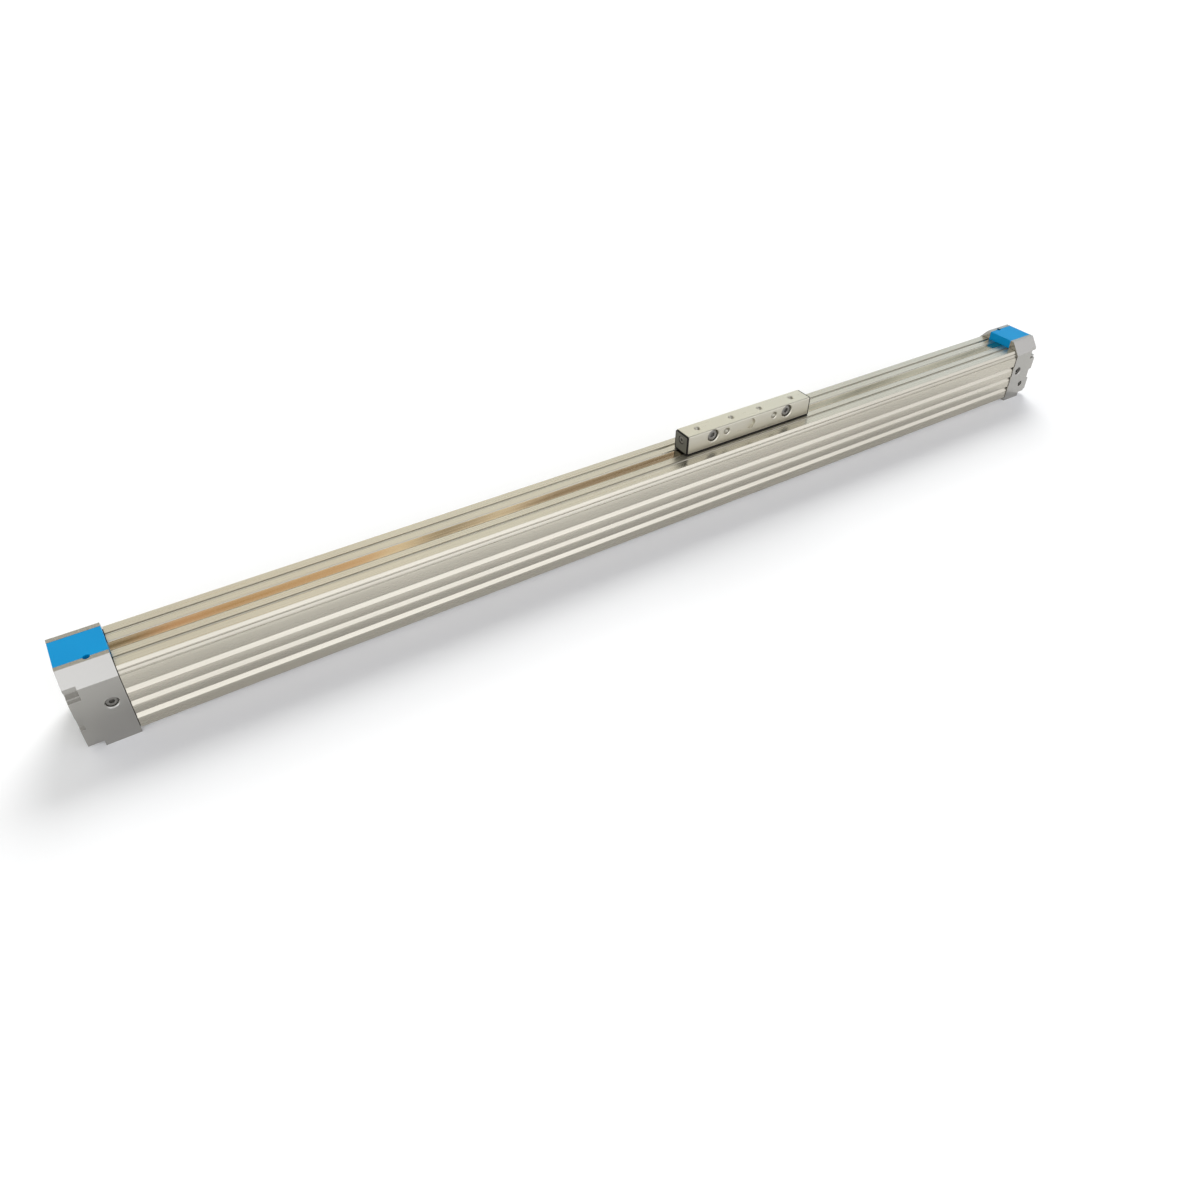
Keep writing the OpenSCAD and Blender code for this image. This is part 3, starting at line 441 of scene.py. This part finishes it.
def softened(
    name: str, node: str, body: str, radius_mm: float, nodes: dict[str, bpy.types.Object]
) -> bpy.types.Object:
    """Remake a rigid node with its flats joined and its sharp edges rounded.

    Args:
        name: Name of the new piece.
        node: Node that it stands for.
        body: Body that carries it.
        radius_mm: Size of the rounding in millimetres.
        nodes: The frame's nodes.

    Returns:
        The new object, which replaces the node.
    """
    mesh = bmesh.new()
    mesh.from_mesh(nodes[node].data)
    bmesh.ops.remove_doubles(mesh, verts=mesh.verts, dist=1e-6)
    bmesh.ops.dissolve_limit(
        mesh,
        angle_limit=math.radians(0.4),
        verts=mesh.verts,
        edges=mesh.edges,
        use_dissolve_boundaries=False,
    )
    limit = math.radians(SHARP_DEG)
    sharp = [e for e in mesh.edges if len(e.link_faces) == 2 and e.calc_face_angle() > limit]
    bmesh.ops.bevel(
        mesh,
        geom=sharp,
        offset=radius_mm * MM,
        offset_type="OFFSET",
        segments=2,
        profile=0.5,
        affect="EDGES",
        clamp_overlap=True,
        harden_normals=False,
    )
    piece = mesh_piece(name, mesh, body, SMOOTH_DEG)
    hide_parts(node)
    return piece


def skin(mesh: bmesh.types.BMesh, rings: Iterable[Sequence[Vector]]) -> None:
    """Join equal rings of points with quads and close both ends.

    Args:
        mesh: Mesh that takes the faces.
        rings: Closed rings with the same number of points.
    """
    rows = [[mesh.verts.new(point) for point in ring] for ring in rings]
    count = len(rows[0])
    for low, high in zip(rows, rows[1:]):
        for i in range(count):
            mesh.faces.new((low[i], low[(i + 1) % count], high[(i + 1) % count], high[i]))
    mesh.faces.new(list(reversed(rows[0])))
    mesh.faces.new(rows[-1])


def circle_ring(radius: float, height: float, count: int, knurl: float = 0.0) -> list[Vector]:
    """Points of a circle round Z, every second one pushed in by the knurl's depth."""
    return [
        Vector((math.cos(a) * r, math.sin(a) * r, height))
        for i in range(count)
        for a, r in [(math.tau * i / count, radius - (knurl if i % 2 else 0.0))]
    ]


def hexagon_ring(across_flats: float, height: float, count: int) -> list[Vector]:
    """Points of a hexagon round Z at equal angles, so that it joins a circle of as many points."""
    points = []
    for i in range(count):
        angle = math.tau * i / count
        radius = across_flats / 2 / math.cos((angle + math.pi / 6) % (math.pi / 3) - math.pi / 6)
        points.append(Vector((math.cos(angle) * radius, math.sin(angle) * radius, height)))
    return points


def placement(origin: Vector, along: Vector) -> Matrix:
    """Matrix that carries Z to a direction and the origin to a point."""
    return Matrix.Translation(origin) @ along.to_track_quat("Z", "Y").to_matrix().to_4x4()


@dataclass(frozen=True)
class ScrewSize:
    """Sizes of a socket-head screw, in millimetres.

    Attributes:
        head_r: Head radius.
        head_h: Head height.
        shank_r: Thread radius.
        pitch: Thread pitch.
    """

    head_r: float
    head_h: float
    shank_r: float
    pitch: float


CAP_SCREW = ScrewSize(3.4, 4.0, 1.95, 0.7)
CLAMP_SCREW = ScrewSize(1.9, 1.2, 1.25, 0.45)
COVER_SCREW = ScrewSize(2.3, 1.5, 1.25, 0.5)
YOKE_SCREW = ScrewSize(3.5, 2.6, 2.0, 0.7)


@dataclass
class SocketScrew:
    """Socket-head cap screw: knurled head, chamfered rim, hexagon socket and a threaded shank.

    Attributes:
        name: Name of the piece.
        node: Node that it stands for.
        body: Body that carries it.
        size: Its sizes.
        into: Direction from the head to the tip.
        POINTS: Points round each ring.
        SMOOTH_DEG: Faces that turn more than this stay apart, so that the knurl and socket read.
    """

    name: str
    node: str
    body: str
    size: ScrewSize
    into: Vector
    POINTS = 72
    SMOOTH_DEG = 24.0

    def build(self) -> bpy.types.Object:
        """Build the screw over its node.

        Returns:
            The screw, which replaces the node.
        """
        low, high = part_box(self.node)
        axis = max(range(3), key=lambda i: abs(self.into[i]))
        length = high[axis] - low[axis]
        middle = (low + high) / 2
        top = middle - self.into * length / 2
        mesh = bmesh.new()
        skin(mesh, self._rings(length))
        mesh.transform(placement(top, self.into))
        piece = mesh_piece(self.name, mesh, self.body, self.SMOOTH_DEG)
        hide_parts(self.node)
        return piece

    def _rings(self, length: float) -> list[list[Vector]]:
        """Rings from the socket's floor round the head and down to the tip."""
        n = self.POINTS
        size = self.size
        head_r, head_h = size.head_r * MM, size.head_h * MM
        shank_r, pitch = size.shank_r * MM, size.pitch * MM
        flats, deep, rim = head_r * 0.88, head_h * 0.58, head_r * 0.08
        rings = [
            hexagon_ring(flats, deep, n),
            hexagon_ring(flats, rim * 0.8, n),
            circle_ring(flats / 2 * 1.2, 0.0, n),
            circle_ring(head_r - rim * 1.5, 0.0, n),
            circle_ring(head_r - rim * 0.4, rim * 0.5, n, rim * 0.1),
            circle_ring(head_r, rim * 1.4, n, rim * 0.35),
            circle_ring(head_r, head_h * 0.86, n, rim * 0.35),
            circle_ring(head_r - rim * 0.4, head_h, n, rim * 0.1),
            circle_ring(shank_r * 1.02, head_h, n),
            circle_ring(shank_r, head_h + 0.1 * MM, n),
        ]
        depth = pitch * 0.3
        turns = max(2, int((length - head_h) / pitch) - 1)
        start = length - (turns + 0.5) * pitch
        for k in range(turns):
            z = start + k * pitch
            rings.append(circle_ring(shank_r, z, n))
            rings.append(circle_ring(shank_r - depth, z + pitch / 2, n))
        rings.append(circle_ring(shank_r, length - pitch / 2, n))
        rings.append(circle_ring(shank_r * 0.78, length, n))
        return rings


@dataclass
class TappedThread:
    """Thread inside a tapped hole: a helical ridge on its wall.

    Attributes:
        radius: Wall radius in millimetres.
        pitch: Pitch in millimetres.
        depth: Length of the thread in millimetres.
        mouth: Centre of the hole's mouth in the frame.
        into: Direction into the hole.
        STEPS: Steps in a turn.
    """

    radius: float
    pitch: float
    depth: float
    mouth: Vector
    into: Vector
    STEPS = 28

    def add_to(self, mesh: bmesh.types.BMesh) -> None:
        """Add the ridge to a mesh.

        Args:
            mesh: Mesh that takes the ridge.
        """
        wall, half, ridge = self.radius * MM, self.pitch * MM * 0.42, self.pitch * MM * 0.3
        part = bmesh.new()
        rows = []
        turns = (self.depth - self.pitch) / self.pitch
        up = Vector((0.0, 0.0, 1.0))
        for step in range(int(turns * self.STEPS) + 1):
            angle = math.tau * step / self.STEPS
            height = self.pitch * MM * (0.5 + step / self.STEPS)
            out = Vector((math.cos(angle), math.sin(angle), 0.0))
            rows.append(
                [
                    part.verts.new(out * wall * 1.01 + up * (height - half)),
                    part.verts.new(out * (wall - ridge) + up * height),
                    part.verts.new(out * wall * 1.01 + up * (height + half)),
                ]
            )
        for low, high in zip(rows, rows[1:]):
            for i in range(3):
                part.faces.new((low[i], low[(i + 1) % 3], high[(i + 1) % 3], high[i]))
        part.faces.new(rows[0])
        part.faces.new(list(reversed(rows[-1])))
        part.transform(placement(self.mouth, self.into))
        data = bpy.data.meshes.new("thread_part")
        part.to_mesh(data)
        part.free()
        mesh.from_mesh(data)
        bpy.data.meshes.remove(data)


def tapped_threads(name: str, body: str, threads: Iterable[TappedThread]) -> bpy.types.Object:
    """Build one piece from the threads of several holes.

    Args:
        name: Name of the piece.
        body: Body that carries it.
        threads: The threads.

    Returns:
        The new object.
    """
    mesh = bmesh.new()
    for thread in threads:
        thread.add_to(mesh)
    return mesh_piece(name, mesh, body, 20.0)


@dataclass
class Barrel:
    """The extruded barrel between the caps.

    Attributes:
        shop: Where its materials come from.
        nodes: The frame's nodes.
        edge_mm: Rounding of the profile's edges.
    """

    shop: Workshop
    nodes: dict[str, bpy.types.Object]
    edge_mm: float = 0.1

    def build(self) -> None:
        """Build and dress the barrel and its gaskets."""
        profile = softened("barrel_extrusion", "barrel_profile", BARREL_BODY, self.edge_mm, self.nodes)
        self.shop.dress(profile, EXTRUDED_ALUMINIUM)
        for end in End:
            self.shop.dress(self.nodes[f"{end.label}_cap_gasket"], NITRILE_RUBBER)
        LOG.info("barrel dressed")


@dataclass
class EndCap:
    """One end cap with its cover, screws, plug, adjuster and inner parts.

    Attributes:
        shop: Where its materials come from.
        nodes: The frame's nodes.
        end: Which end it closes.
        edge_mm: Rounding of the cap's edges.
        cover_edge_mm: Rounding of the cover's edges.
    """

    shop: Workshop
    nodes: dict[str, bpy.types.Object]
    end: End
    edge_mm: float = 0.3
    cover_edge_mm: float = 0.3

    def build(self) -> None:
        """Build and dress the cap and everything that it holds."""
        label = self.end.label
        for name, node, radius_mm, finish in (
            ("cap_block", "end_cap", self.edge_mm, CAP_ALUMINIUM),
            ("blue_cover", "cap_cover", self.cover_edge_mm, BLUE_POLYAMIDE),
        ):
            piece = softened(f"{label}_{name}", f"{label}_{node}", BARREL_BODY, radius_mm, self.nodes)
            self.shop.dress(piece, finish)
        inward = Vector((-self.end.value, 0.0, 0.0))
        downward = Vector((0.0, 0.0, -1.0))
        for name, node, count, size, into in (
            ("bearing_screw", "cap_screw", 4, CAP_SCREW, inward),
            ("clamping_screw", "clamp_screw", 2, CLAMP_SCREW, downward),
        ):
            for number in range(1, count + 1):
                screw = SocketScrew(
                    f"{label}_{name}_{number}", f"{label}_{node}_{number}", BARREL_BODY, size, into
                )
                self.shop.dress(screw.build(), SCREW_STEEL)
        for part in ("side_plug", "needle"):
            self.shop.dress(self.nodes[f"{label}_{part}"], SCREW_STEEL)
        for part in ("band_clamp", "cushion_tube"):
            self.shop.dress(self.nodes[f"{label}_{part}"], TURNED_ALUMINIUM)
        for part in ("bore_seal", "needle_ring"):
            self.shop.dress(self.nodes[f"{label}_{part}"], NITRILE_RUBBER)
        LOG.info("%s end cap dressed", label)


@dataclass
class Bands:
    """The two steel bands, drawn as still strips in the barrel; the slide hides where they arch.

    Attributes:
        shop: Where their material comes from.
        nodes: The frame's nodes.
        thickness_mm: Thickness of a band.
        strip_steps: Lengthwise steps of a still strip.
    """

    shop: Workshop
    nodes: dict[str, bpy.types.Object]
    thickness_mm: float = 0.3
    strip_steps: int = 60

    def build(self) -> None:
        """Build both bands in place of their nodes."""
        for node, rises in (("cover_band", True), ("seal_band", False)):
            low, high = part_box(node)
            thick = self.thickness_mm * MM
            still = low.z if rises else high.z - thick
            strip = self._strip(f"{node}_strip", low, high, still, thick)
            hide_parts(node)
            self.shop.dress(strip, BAND_STEEL)
        LOG.info("bands dressed")

    def _strip(self, name: str, low: Vector, high: Vector, bottom: float, thick: float) -> bpy.types.Object:
        """Build one still strip with rounded long edges.

        Args:
            name: Name of the piece.
            low: Lowest corner of the band's node.
            high: Highest corner of the band's node.
            bottom: Height of the strip's underside.
            thick: Its thickness.

        Returns:
            The strip.
        """
        round_off = thick * 0.3
        section = [
            (low.y + round_off, bottom),
            (high.y - round_off, bottom),
            (high.y, bottom + round_off),
            (high.y, bottom + thick - round_off),
            (high.y - round_off, bottom + thick),
            (low.y + round_off, bottom + thick),
            (low.y, bottom + thick - round_off),
            (low.y, bottom + round_off),
        ]
        mesh = bmesh.new()
        span = high.x - low.x
        rings = [
            [Vector((low.x + span * i / self.strip_steps, y, z)) for y, z in section]
            for i in range(self.strip_steps + 1)
        ]
        skin(mesh, rings)
        return mesh_piece(name, mesh, BARREL_BODY, SMOOTH_DEG)


@dataclass
class Slide:
    """The slide on top, with its end covers, wiper, screws and threads.

    Attributes:
        shop: Where its materials come from.
        nodes: The frame's nodes.
        edge_mm: Rounding of the block's edges.
        cover_edge_mm: Rounding of the end covers' edges.
        rim_mm: Width of the black rubber rim round an end cover's panel; the rim is partly painted shade,
            standing in for the shadow gap round the panel.
        top_thread_mm: Radius, pitch and depth of the top threads.
        top_places_mm: Places of the top threads from the slide's middle.
        side_thread_mm: Radius, pitch and depth of the side threads.
        side_place_mm: Place of the side threads from the slide's middle.
        side_drop_mm: Depth of the side threads below the slide's top.
    """

    shop: Workshop
    nodes: dict[str, bpy.types.Object]
    edge_mm: float = 0.38
    cover_edge_mm: float = 0.25
    rim_mm: float = 0.75
    top_thread_mm: tuple[float, float, float] = (1.65, 0.7, 5.5)
    top_places_mm: tuple[float, ...] = (-39.6, -11.9, 11.9, 39.6)
    side_thread_mm: tuple[float, float, float] = (2.1, 0.8, 4.6)
    side_place_mm: float = 20.0
    side_drop_mm: float = 4.7

    def build(self) -> None:
        """Build and dress the slide."""
        block = softened("slide_bar", "slide_block", SLIDE_BODY, self.edge_mm, self.nodes)
        self.shop.dress(block, SLIDE_ALUMINIUM)
        for end in End:
            label = end.label
            cover = softened(
                f"{label}_wiper_cover", f"{label}_slide_cover", SLIDE_BODY, self.cover_edge_mm, self.nodes
            )
            self.shop.dress(cover, NITRILE_RUBBER)
            self._panel(cover, end)
            for name, node, size, into in (
                ("cover_fixing", "slide_cover_screw", COVER_SCREW, Vector((-end.value, 0.0, 0.0))),
                ("yoke_fixing", "yoke_screw", YOKE_SCREW, Vector((0.0, 1.0, 0.0))),
            ):
                screw = SocketScrew(f"{label}_{name}", f"{label}_{node}", SLIDE_BODY, size, into)
                self.shop.dress(screw.build(), SCREW_STEEL)
            self.shop.dress(self.nodes[f"{label}_band_shoe"], BEARING_PLASTIC)
        self.shop.dress(self.nodes["slide_wiper"], NITRILE_RUBBER)
        self._threads()
        LOG.info("slide dressed")

    def _panel(self, cover: bpy.types.Object, end: End) -> None:
        """Give an end cover's outer face its hard panel inside the black rubber rim, which is partly painted
        shade for the shadow gap round the panel.

        Args:
            cover: The end cover, dressed in rubber.
            end: Its end of the slide.
        """
        low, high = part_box(f"{end.label}_slide_cover")
        # The black rubber rim left round the panel is partly painted shade: it stands in for the shadow gap
        # round the panel.
        rim = self.rim_mm * MM
        outside = high.x if end is End.RIGHT else low.x
        near = 0.01 * MM
        sideways, upward = Vector((0.0, 1.0, 0.0)), Vector((0.0, 0.0, 1.0))
        mesh = bmesh.new()
        mesh.from_mesh(cover.data)
        for across, level in (
            (sideways, low.y + rim),
            (sideways, high.y - rim),
            (upward, low.z + rim),
            (upward, high.z - rim),
        ):
            face = [f for f in mesh.faces if abs(f.calc_center_median().x - outside) < near]
            edges = {e for f in face for e in f.edges}
            verts = {v for f in face for v in f.verts}
            bmesh.ops.bisect_plane(
                mesh, geom=[*face, *edges, *verts], dist=1e-7, plane_co=across * level, plane_no=across
            )
        for face in mesh.faces:
            middle = face.calc_center_median()
            inside = low.y + rim < middle.y < high.y - rim and low.z + rim < middle.z < high.z - rim
            if inside and abs(middle.x - outside) < near:
                face.material_index = 1
        mesh.to_mesh(cover.data)
        mesh.free()
        cover.data.materials.append(self.shop.material(DARK_ACETAL))
        even_normals(cover.data, SMOOTH_DEG)

    def _threads(self) -> None:
        """Wind threads in the slide's top and side holes, one pitch below their mouths."""
        low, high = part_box("slide_block")
        middle = (low + high) / 2
        sunk = high.z - self.top_thread_mm[1] * MM
        downward = Vector((0.0, 0.0, -1.0))
        top = [
            TappedThread(*self.top_thread_mm, Vector((middle.x + x * MM, 0.0, sunk)), downward)
            for x in self.top_places_mm
        ]
        self.shop.dress(tapped_threads("slide_top_threads", SLIDE_BODY, top), SLIDE_ALUMINIUM)
        sunk = high.y - self.side_thread_mm[1] * MM
        height = high.z - self.side_drop_mm * MM
        away = self.side_place_mm * MM
        sides = [
            TappedThread(
                *self.side_thread_mm,
                Vector((middle.x + x * away, side * sunk, height)),
                Vector((0.0, -float(side), 0.0)),
            )
            for side in (-1, 1)
            for x in (-1, 1)
        ]
        self.shop.dress(tapped_threads("slide_side_threads", SLIDE_BODY, sides), SLIDE_ALUMINIUM)


@dataclass
class Drive:
    """The yoke and the two pistons inside the barrel.

    Attributes:
        shop: Where its materials come from.
        nodes: The frame's nodes.
    """

    shop: Workshop
    nodes: dict[str, bpy.types.Object]

    def build(self) -> None:
        """Dress the yoke, the pistons and their rings."""
        self.shop.dress(self.nodes["drive_yoke"], YOKE_STEEL)
        for end in End:
            for part, finish in (
                ("piston", TURNED_ALUMINIUM),
                ("piston_seal", NITRILE_RUBBER),
                ("wear_ring", BEARING_PLASTIC),
                ("magnet", BONDED_MAGNET),
                ("cushion_seal", NITRILE_RUBBER),
            ):
                self.shop.dress(self.nodes[f"{end.label}_{part}"], finish)
        LOG.info("drive dressed")


@dataclass(frozen=True)
class SoftWall:
    """A long soft light in the surroundings that runs along X.

    Attributes:
        lift_deg: Angles round X, from +Y upward, between which it stands.
        left_colour: sRGB hex of its left part.
        right_colour: sRGB hex of its right part.
        levels: Brightness of its left and right part.
        soft_deg: Half the width of its edges' softness.
    """

    lift_deg: tuple[float, float]
    left_colour: str
    right_colour: str
    levels: tuple[float, float]
    soft_deg: float = 6.0


@dataclass
class Studio:
    """Pale floor, soft lights and the camera.

    Attributes:
        floor_half: Half the side of the floor, in metres.
        floor_colour: sRGB hex of its paint.
        camera_place: Camera position, in metres in the frame.
        heading_deg: Direction of view about Z, from +X.
        tilt_deg: Direction of view below the horizon.
        roll_deg: Turn of the camera about its view.
        lens_mm: Focal length on the sensor below.
        sensor_mm: Sensor width.
        shift: Shift of the picture across and up.
        key_from: Direction from which the key light shines.
        key_strength: Strength of the key light.
        key_spread_deg: Angle that the key light fills, which softens its shadow.
        floor_lift: How much the floor is lifted toward white where a camera ray or a mirror sees it.
        room_colour: sRGB hex of the room between the lights.
        room_level: Brightness of that room.
        change_along: Shares of X between which the lights change from left to right.
        lights: Long soft lights in front and behind.
        frieze_lift_deg: Angles round X between which the band's frieze stands.
        frieze_soft_deg: Half the width of its edges' softness.
        frieze_turn_deg: Angles round Z at its right and left end.
        frieze_waver: How far its colours wander to either side, as a share of its length.
        frieze_stops: Colours along it.
    """

    floor_half: float = 40.0
    floor_colour: str = "#f4f4f5"
    camera_place: tuple[float, float, float] = (-0.3098, -0.3942, 0.3530)
    heading_deg: float = 55.17
    tilt_deg: float = 38.50
    roll_deg: float = 2.03
    lens_mm: float = 27.78
    sensor_mm: float = 36.0
    shift: tuple[float, float] = (-0.0121, -0.0310)
    key_from: tuple[float, float, float] = (0.65, 0.80, 0.75)
    key_strength: float = 1.95
    key_spread_deg: float = 34.0
    floor_lift: float = 0.06
    room_colour: str = "#f4f2ee"
    room_level: float = 0.17
    change_along: tuple[float, float] = (0.5, 0.8)
    lights: tuple[SoftWall, ...] = (
        SoftWall((121.0, 137.0), "#fbfbff", "#f9faff", (1.2, 1.0)),
        SoftWall((133.0, 173.0), "#f8faff", "#f9faff", (1.98, 1.42)),
        SoftWall((14.0, 62.0), "#fffff6", "#f1f9ff", (1.42, 1.46)),
        SoftWall((-30.0, 12.0), "#ffffff", "#ffffff", (1.0, 1.0)),
        SoftWall((176.0, 200.0), "#ffffff", "#ffffff", (1.0, 1.0)),
    )
    frieze_lift_deg: tuple[float, float] = (36.2, 40.6)
    frieze_soft_deg: float = 0.6
    frieze_turn_deg: tuple[float, float] = (30.0, 95.0)
    frieze_waver: float = 0.03
    frieze_stops: tuple[tuple[float, str], ...] = (
        (0.05, "#a4b0b0"),
        (0.09, "#dde9ea"),
        (0.14, "#94a0a0"),
        (0.18, "#d2dfe2"),
        (0.21, "#a6abab"),
        (0.30, "#89765f"),
        (0.47, "#a08c72"),
        (0.52, "#f0e4cc"),
        (0.59, "#a59a84"),
        (0.64, "#fff0d2"),
        (0.68, "#f2cda0"),
        (0.82, "#dcb98c"),
        (0.89, "#ecc298"),
        (0.95, "#95886f"),
    )

    def build(self) -> None:
        """Set up the floor, the world, the lamps and the camera."""
        self._floor()
        self._world()
        self._lamps()
        self._camera()
        LOG.info("studio ready")

    def _floor(self) -> None:
        """Lay a plain pale floor under the caps."""
        mesh = bmesh.new()
        half = self.floor_half
        signs = ((-1, -1), (1, -1), (1, 1), (-1, 1))
        mesh.faces.new([mesh.verts.new((x * half, y * half, 0.0)) for x, y in signs])
        data = bpy.data.meshes.new("studio_floor")
        mesh.to_mesh(data)
        mesh.free()
        floor = bpy.data.objects.new("studio_floor", data)
        bpy.context.scene.collection.objects.link(floor)
        material, tree = new_material("matt_white_floor")
        paint = add_node(
            tree,
            "ShaderNodeBsdfPrincipled",
            {"Base Color": linear(self.floor_colour), "Roughness": 0.9, "Specular IOR Level": 0.2},
        )
        ray = add_node(tree, "ShaderNodeLightPath")
        seen = ray.outputs["Is Camera Ray"]
        for kind in ("Is Glossy Ray", "Is Transmission Ray"):
            links = {0: seen, 1: ray.outputs[kind]}
            seen = add_node(tree, "ShaderNodeMath", {"operation": "MAXIMUM"}, links).outputs["Value"]
        level = add_node(tree, "ShaderNodeMath", {"operation": "MULTIPLY", 1: self.floor_lift}, {0: seen})
        lift = add_node(tree, "ShaderNodeEmission", {}, {"Strength": level.outputs["Value"]})
        both = add_node(
            tree, "ShaderNodeAddShader", {}, {0: paint.outputs["BSDF"], 1: lift.outputs["Emission"]}
        )
        add_node(tree, "ShaderNodeOutputMaterial", {}, {"Surface": both.outputs["Shader"]})
        data.materials.append(material)

    def _world(self) -> None:
        """Surround the object with a soft studio.

        The room is a plain grey above and white along the horizon. Soft lights stand in front, which the
        flutes and slopes mirror, and a pale wall stands behind, which the tops mirror. A narrow frieze of
        warm patches runs along that wall at the height that only the polished band mirrors.
        """
        world = bpy.data.worlds.new("soft_studio")
        bpy.context.scene.world = world
        world.use_nodes = True
        tree = world.node_tree
        tree.nodes.clear()
        way = add_node(tree, "ShaderNodeTexCoord").outputs["Generated"]
        parts = add_node(tree, "ShaderNodeSeparateXYZ", {}, {"Vector": way})
        along, deep, up = (parts.outputs[axis] for axis in "XYZ")
        lift, turn = (
            add_node(tree, "ShaderNodeMath", {"operation": "ARCTAN2"}, {0: rise, 1: run}).outputs["Value"]
            for rise, run in ((up, deep), (deep, along))
        )
        room = add_node(tree, "ShaderNodeRGB")
        room.outputs[0].default_value = scaled(self.room_colour, self.room_level)
        shade = room.outputs[0]
        for light in self.lights:
            shade = self._lit(tree, shade, light, along, lift)
        shade = self._frieze(tree, shade, turn, lift)
        glow = add_node(tree, "ShaderNodeBackground", {}, {"Color": shade})
        add_node(tree, "ShaderNodeOutputWorld", {}, {"Surface": glow.outputs["Background"]})

    def _lit(
        self,
        tree: bpy.types.NodeTree,
        under: bpy.types.NodeSocket,
        light: SoftWall,
        along: bpy.types.NodeSocket,
        lift: bpy.types.NodeSocket,
    ) -> bpy.types.NodeSocket:
        """Lay one soft light over the surroundings.

        Args:
            tree: The world's node tree.
            under: Colour so far.
            light: The light's place and colours.
            along: Share of X in the direction.
            lift: Angle of the direction round X, in radians.

        Returns:
            Colour with the light on it.
        """
        first, last = (math.radians(v) for v in light.lift_deg)
        mask = self._window(tree, lift, first, last, math.radians(light.soft_deg))
        place = add_node(
            tree,
            "ShaderNodeMapRange",
            {
                "interpolation_type": "SMOOTHSTEP",
                "From Min": self.change_along[0],
                "From Max": self.change_along[1],
            },
            {"Value": along},
        )
        ends = add_node(tree, "ShaderNodeMix", {"data_type": "RGBA"}, {0: place.outputs["Result"]})
        ends.inputs[6].default_value = scaled(light.left_colour, light.levels[0])
        ends.inputs[7].default_value = scaled(light.right_colour, light.levels[1])
        mix = add_node(tree, "ShaderNodeMix", {"data_type": "RGBA"}, {0: mask, 6: under, 7: ends.outputs[2]})
        return mix.outputs[2]

    def _frieze(
        self,
        tree: bpy.types.NodeTree,
        under: bpy.types.NodeSocket,
        turn: bpy.types.NodeSocket,
        lift: bpy.types.NodeSocket,
    ) -> bpy.types.NodeSocket:
        """Run the band's narrow frieze along the rear wall.

        Args:
            tree: The world's node tree.
            under: Colour so far.
            turn: Angle of the direction round Z, in radians.
            lift: Angle of the direction round X, in radians.

        Returns:
            Colour with the frieze on it.
        """
        low, high = (math.radians(v) for v in self.frieze_lift_deg)
        mask = self._window(tree, lift, low, high, math.radians(self.frieze_soft_deg))
        first, last = (math.radians(v) for v in self.frieze_turn_deg)
        place = add_node(tree, "ShaderNodeMapRange", {"From Min": first, "From Max": last}, {"Value": turn})
        waver = add_node(tree, "ShaderNodeTexNoise", {"Scale": 26.0, "Detail": 2.0})
        drift = add_node(
            tree,
            "ShaderNodeMapRange",
            {"To Min": -self.frieze_waver, "To Max": self.frieze_waver},
            {"Value": waver.outputs["Fac"]},
        )
        moved = add_node(
            tree,
            "ShaderNodeMath",
            {"operation": "ADD"},
            {0: place.outputs["Result"], 1: drift.outputs["Result"]},
        )
        patches = add_node(tree, "ShaderNodeValToRGB", {}, {"Fac": moved.outputs["Value"]})
        colour_stops(patches, self.frieze_stops)
        mix = add_node(
            tree, "ShaderNodeMix", {"data_type": "RGBA"}, {0: mask, 6: under, 7: patches.outputs["Color"]}
        )
        return mix.outputs[2]

    def _window(
        self, tree: bpy.types.NodeTree, value: bpy.types.NodeSocket, low: float, high: float, soft: float
    ) -> bpy.types.NodeSocket:
        """Mask a range of a value, with soft edges.

        Args:
            tree: The world's node tree.
            value: Socket with the value.
            low: Where the range starts.
            high: Where it ends.
            soft: Half the width of a soft edge.

        Returns:
            Socket with 1 inside the range and 0 outside.
        """
        edges = [
            add_node(
                tree,
                "ShaderNodeMapRange",
                {
                    "interpolation_type": "SMOOTHSTEP",
                    "From Min": edge - side * soft,
                    "From Max": edge + side * soft,
                },
                {"Value": value},
            ).outputs["Result"]
            for edge, side in ((low, 1), (high, -1))
        ]
        both = add_node(tree, "ShaderNodeMath", {"operation": "MULTIPLY"}, {0: edges[0], 1: edges[1]})
        return both.outputs["Value"]

    def _lamps(self) -> None:
        """Set the key light: broad and soft, from above and behind, and out of the metal's mirror."""
        lamp = bpy.data.lights.new("soft_key", "SUN")
        lamp.energy = self.key_strength
        lamp.angle = math.radians(self.key_spread_deg)
        obj = bpy.data.objects.new("soft_key", lamp)
        obj.visible_glossy = False
        obj.rotation_euler = Vector(self.key_from).to_track_quat("Z", "Y").to_euler()
        bpy.context.scene.collection.objects.link(obj)

    def _camera(self) -> None:
        """Place the camera."""
        camera = bpy.data.cameras.new("studio_camera")
        camera.lens = self.lens_mm
        camera.sensor_width = self.sensor_mm
        camera.shift_x, camera.shift_y = self.shift
        camera.clip_start, camera.clip_end = 0.01, 50.0
        obj = bpy.data.objects.new("studio_camera", camera)
        level = Matrix.Rotation(math.radians(self.heading_deg - 90.0), 4, "Z")
        tilt = Matrix.Rotation(math.radians(90.0 - self.tilt_deg), 4, "X")
        roll = Matrix.Rotation(math.radians(self.roll_deg), 4, "Z")
        obj.matrix_world = Matrix.Translation(self.camera_place) @ level @ tilt @ roll
        bpy.context.scene.collection.objects.link(obj)
        bpy.context.scene.camera = obj


def main() -> None:
    """Build the studio and every sub-assembly."""
    logging.basicConfig(level=logging.INFO, format="%(name)s: %(message)s")
    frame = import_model()
    nodes = frame["nodes"]
    shop = Workshop()
    Studio().build()
    Barrel(shop, nodes).build()
    for end in End:
        EndCap(shop, nodes, end).build()
    Bands(shop, nodes).build()
    Slide(shop, nodes).build()
    Drive(shop, nodes).build()
    bpy.context.scene.view_settings.view_transform = "Standard"


if __name__ == "__main__":
    main()
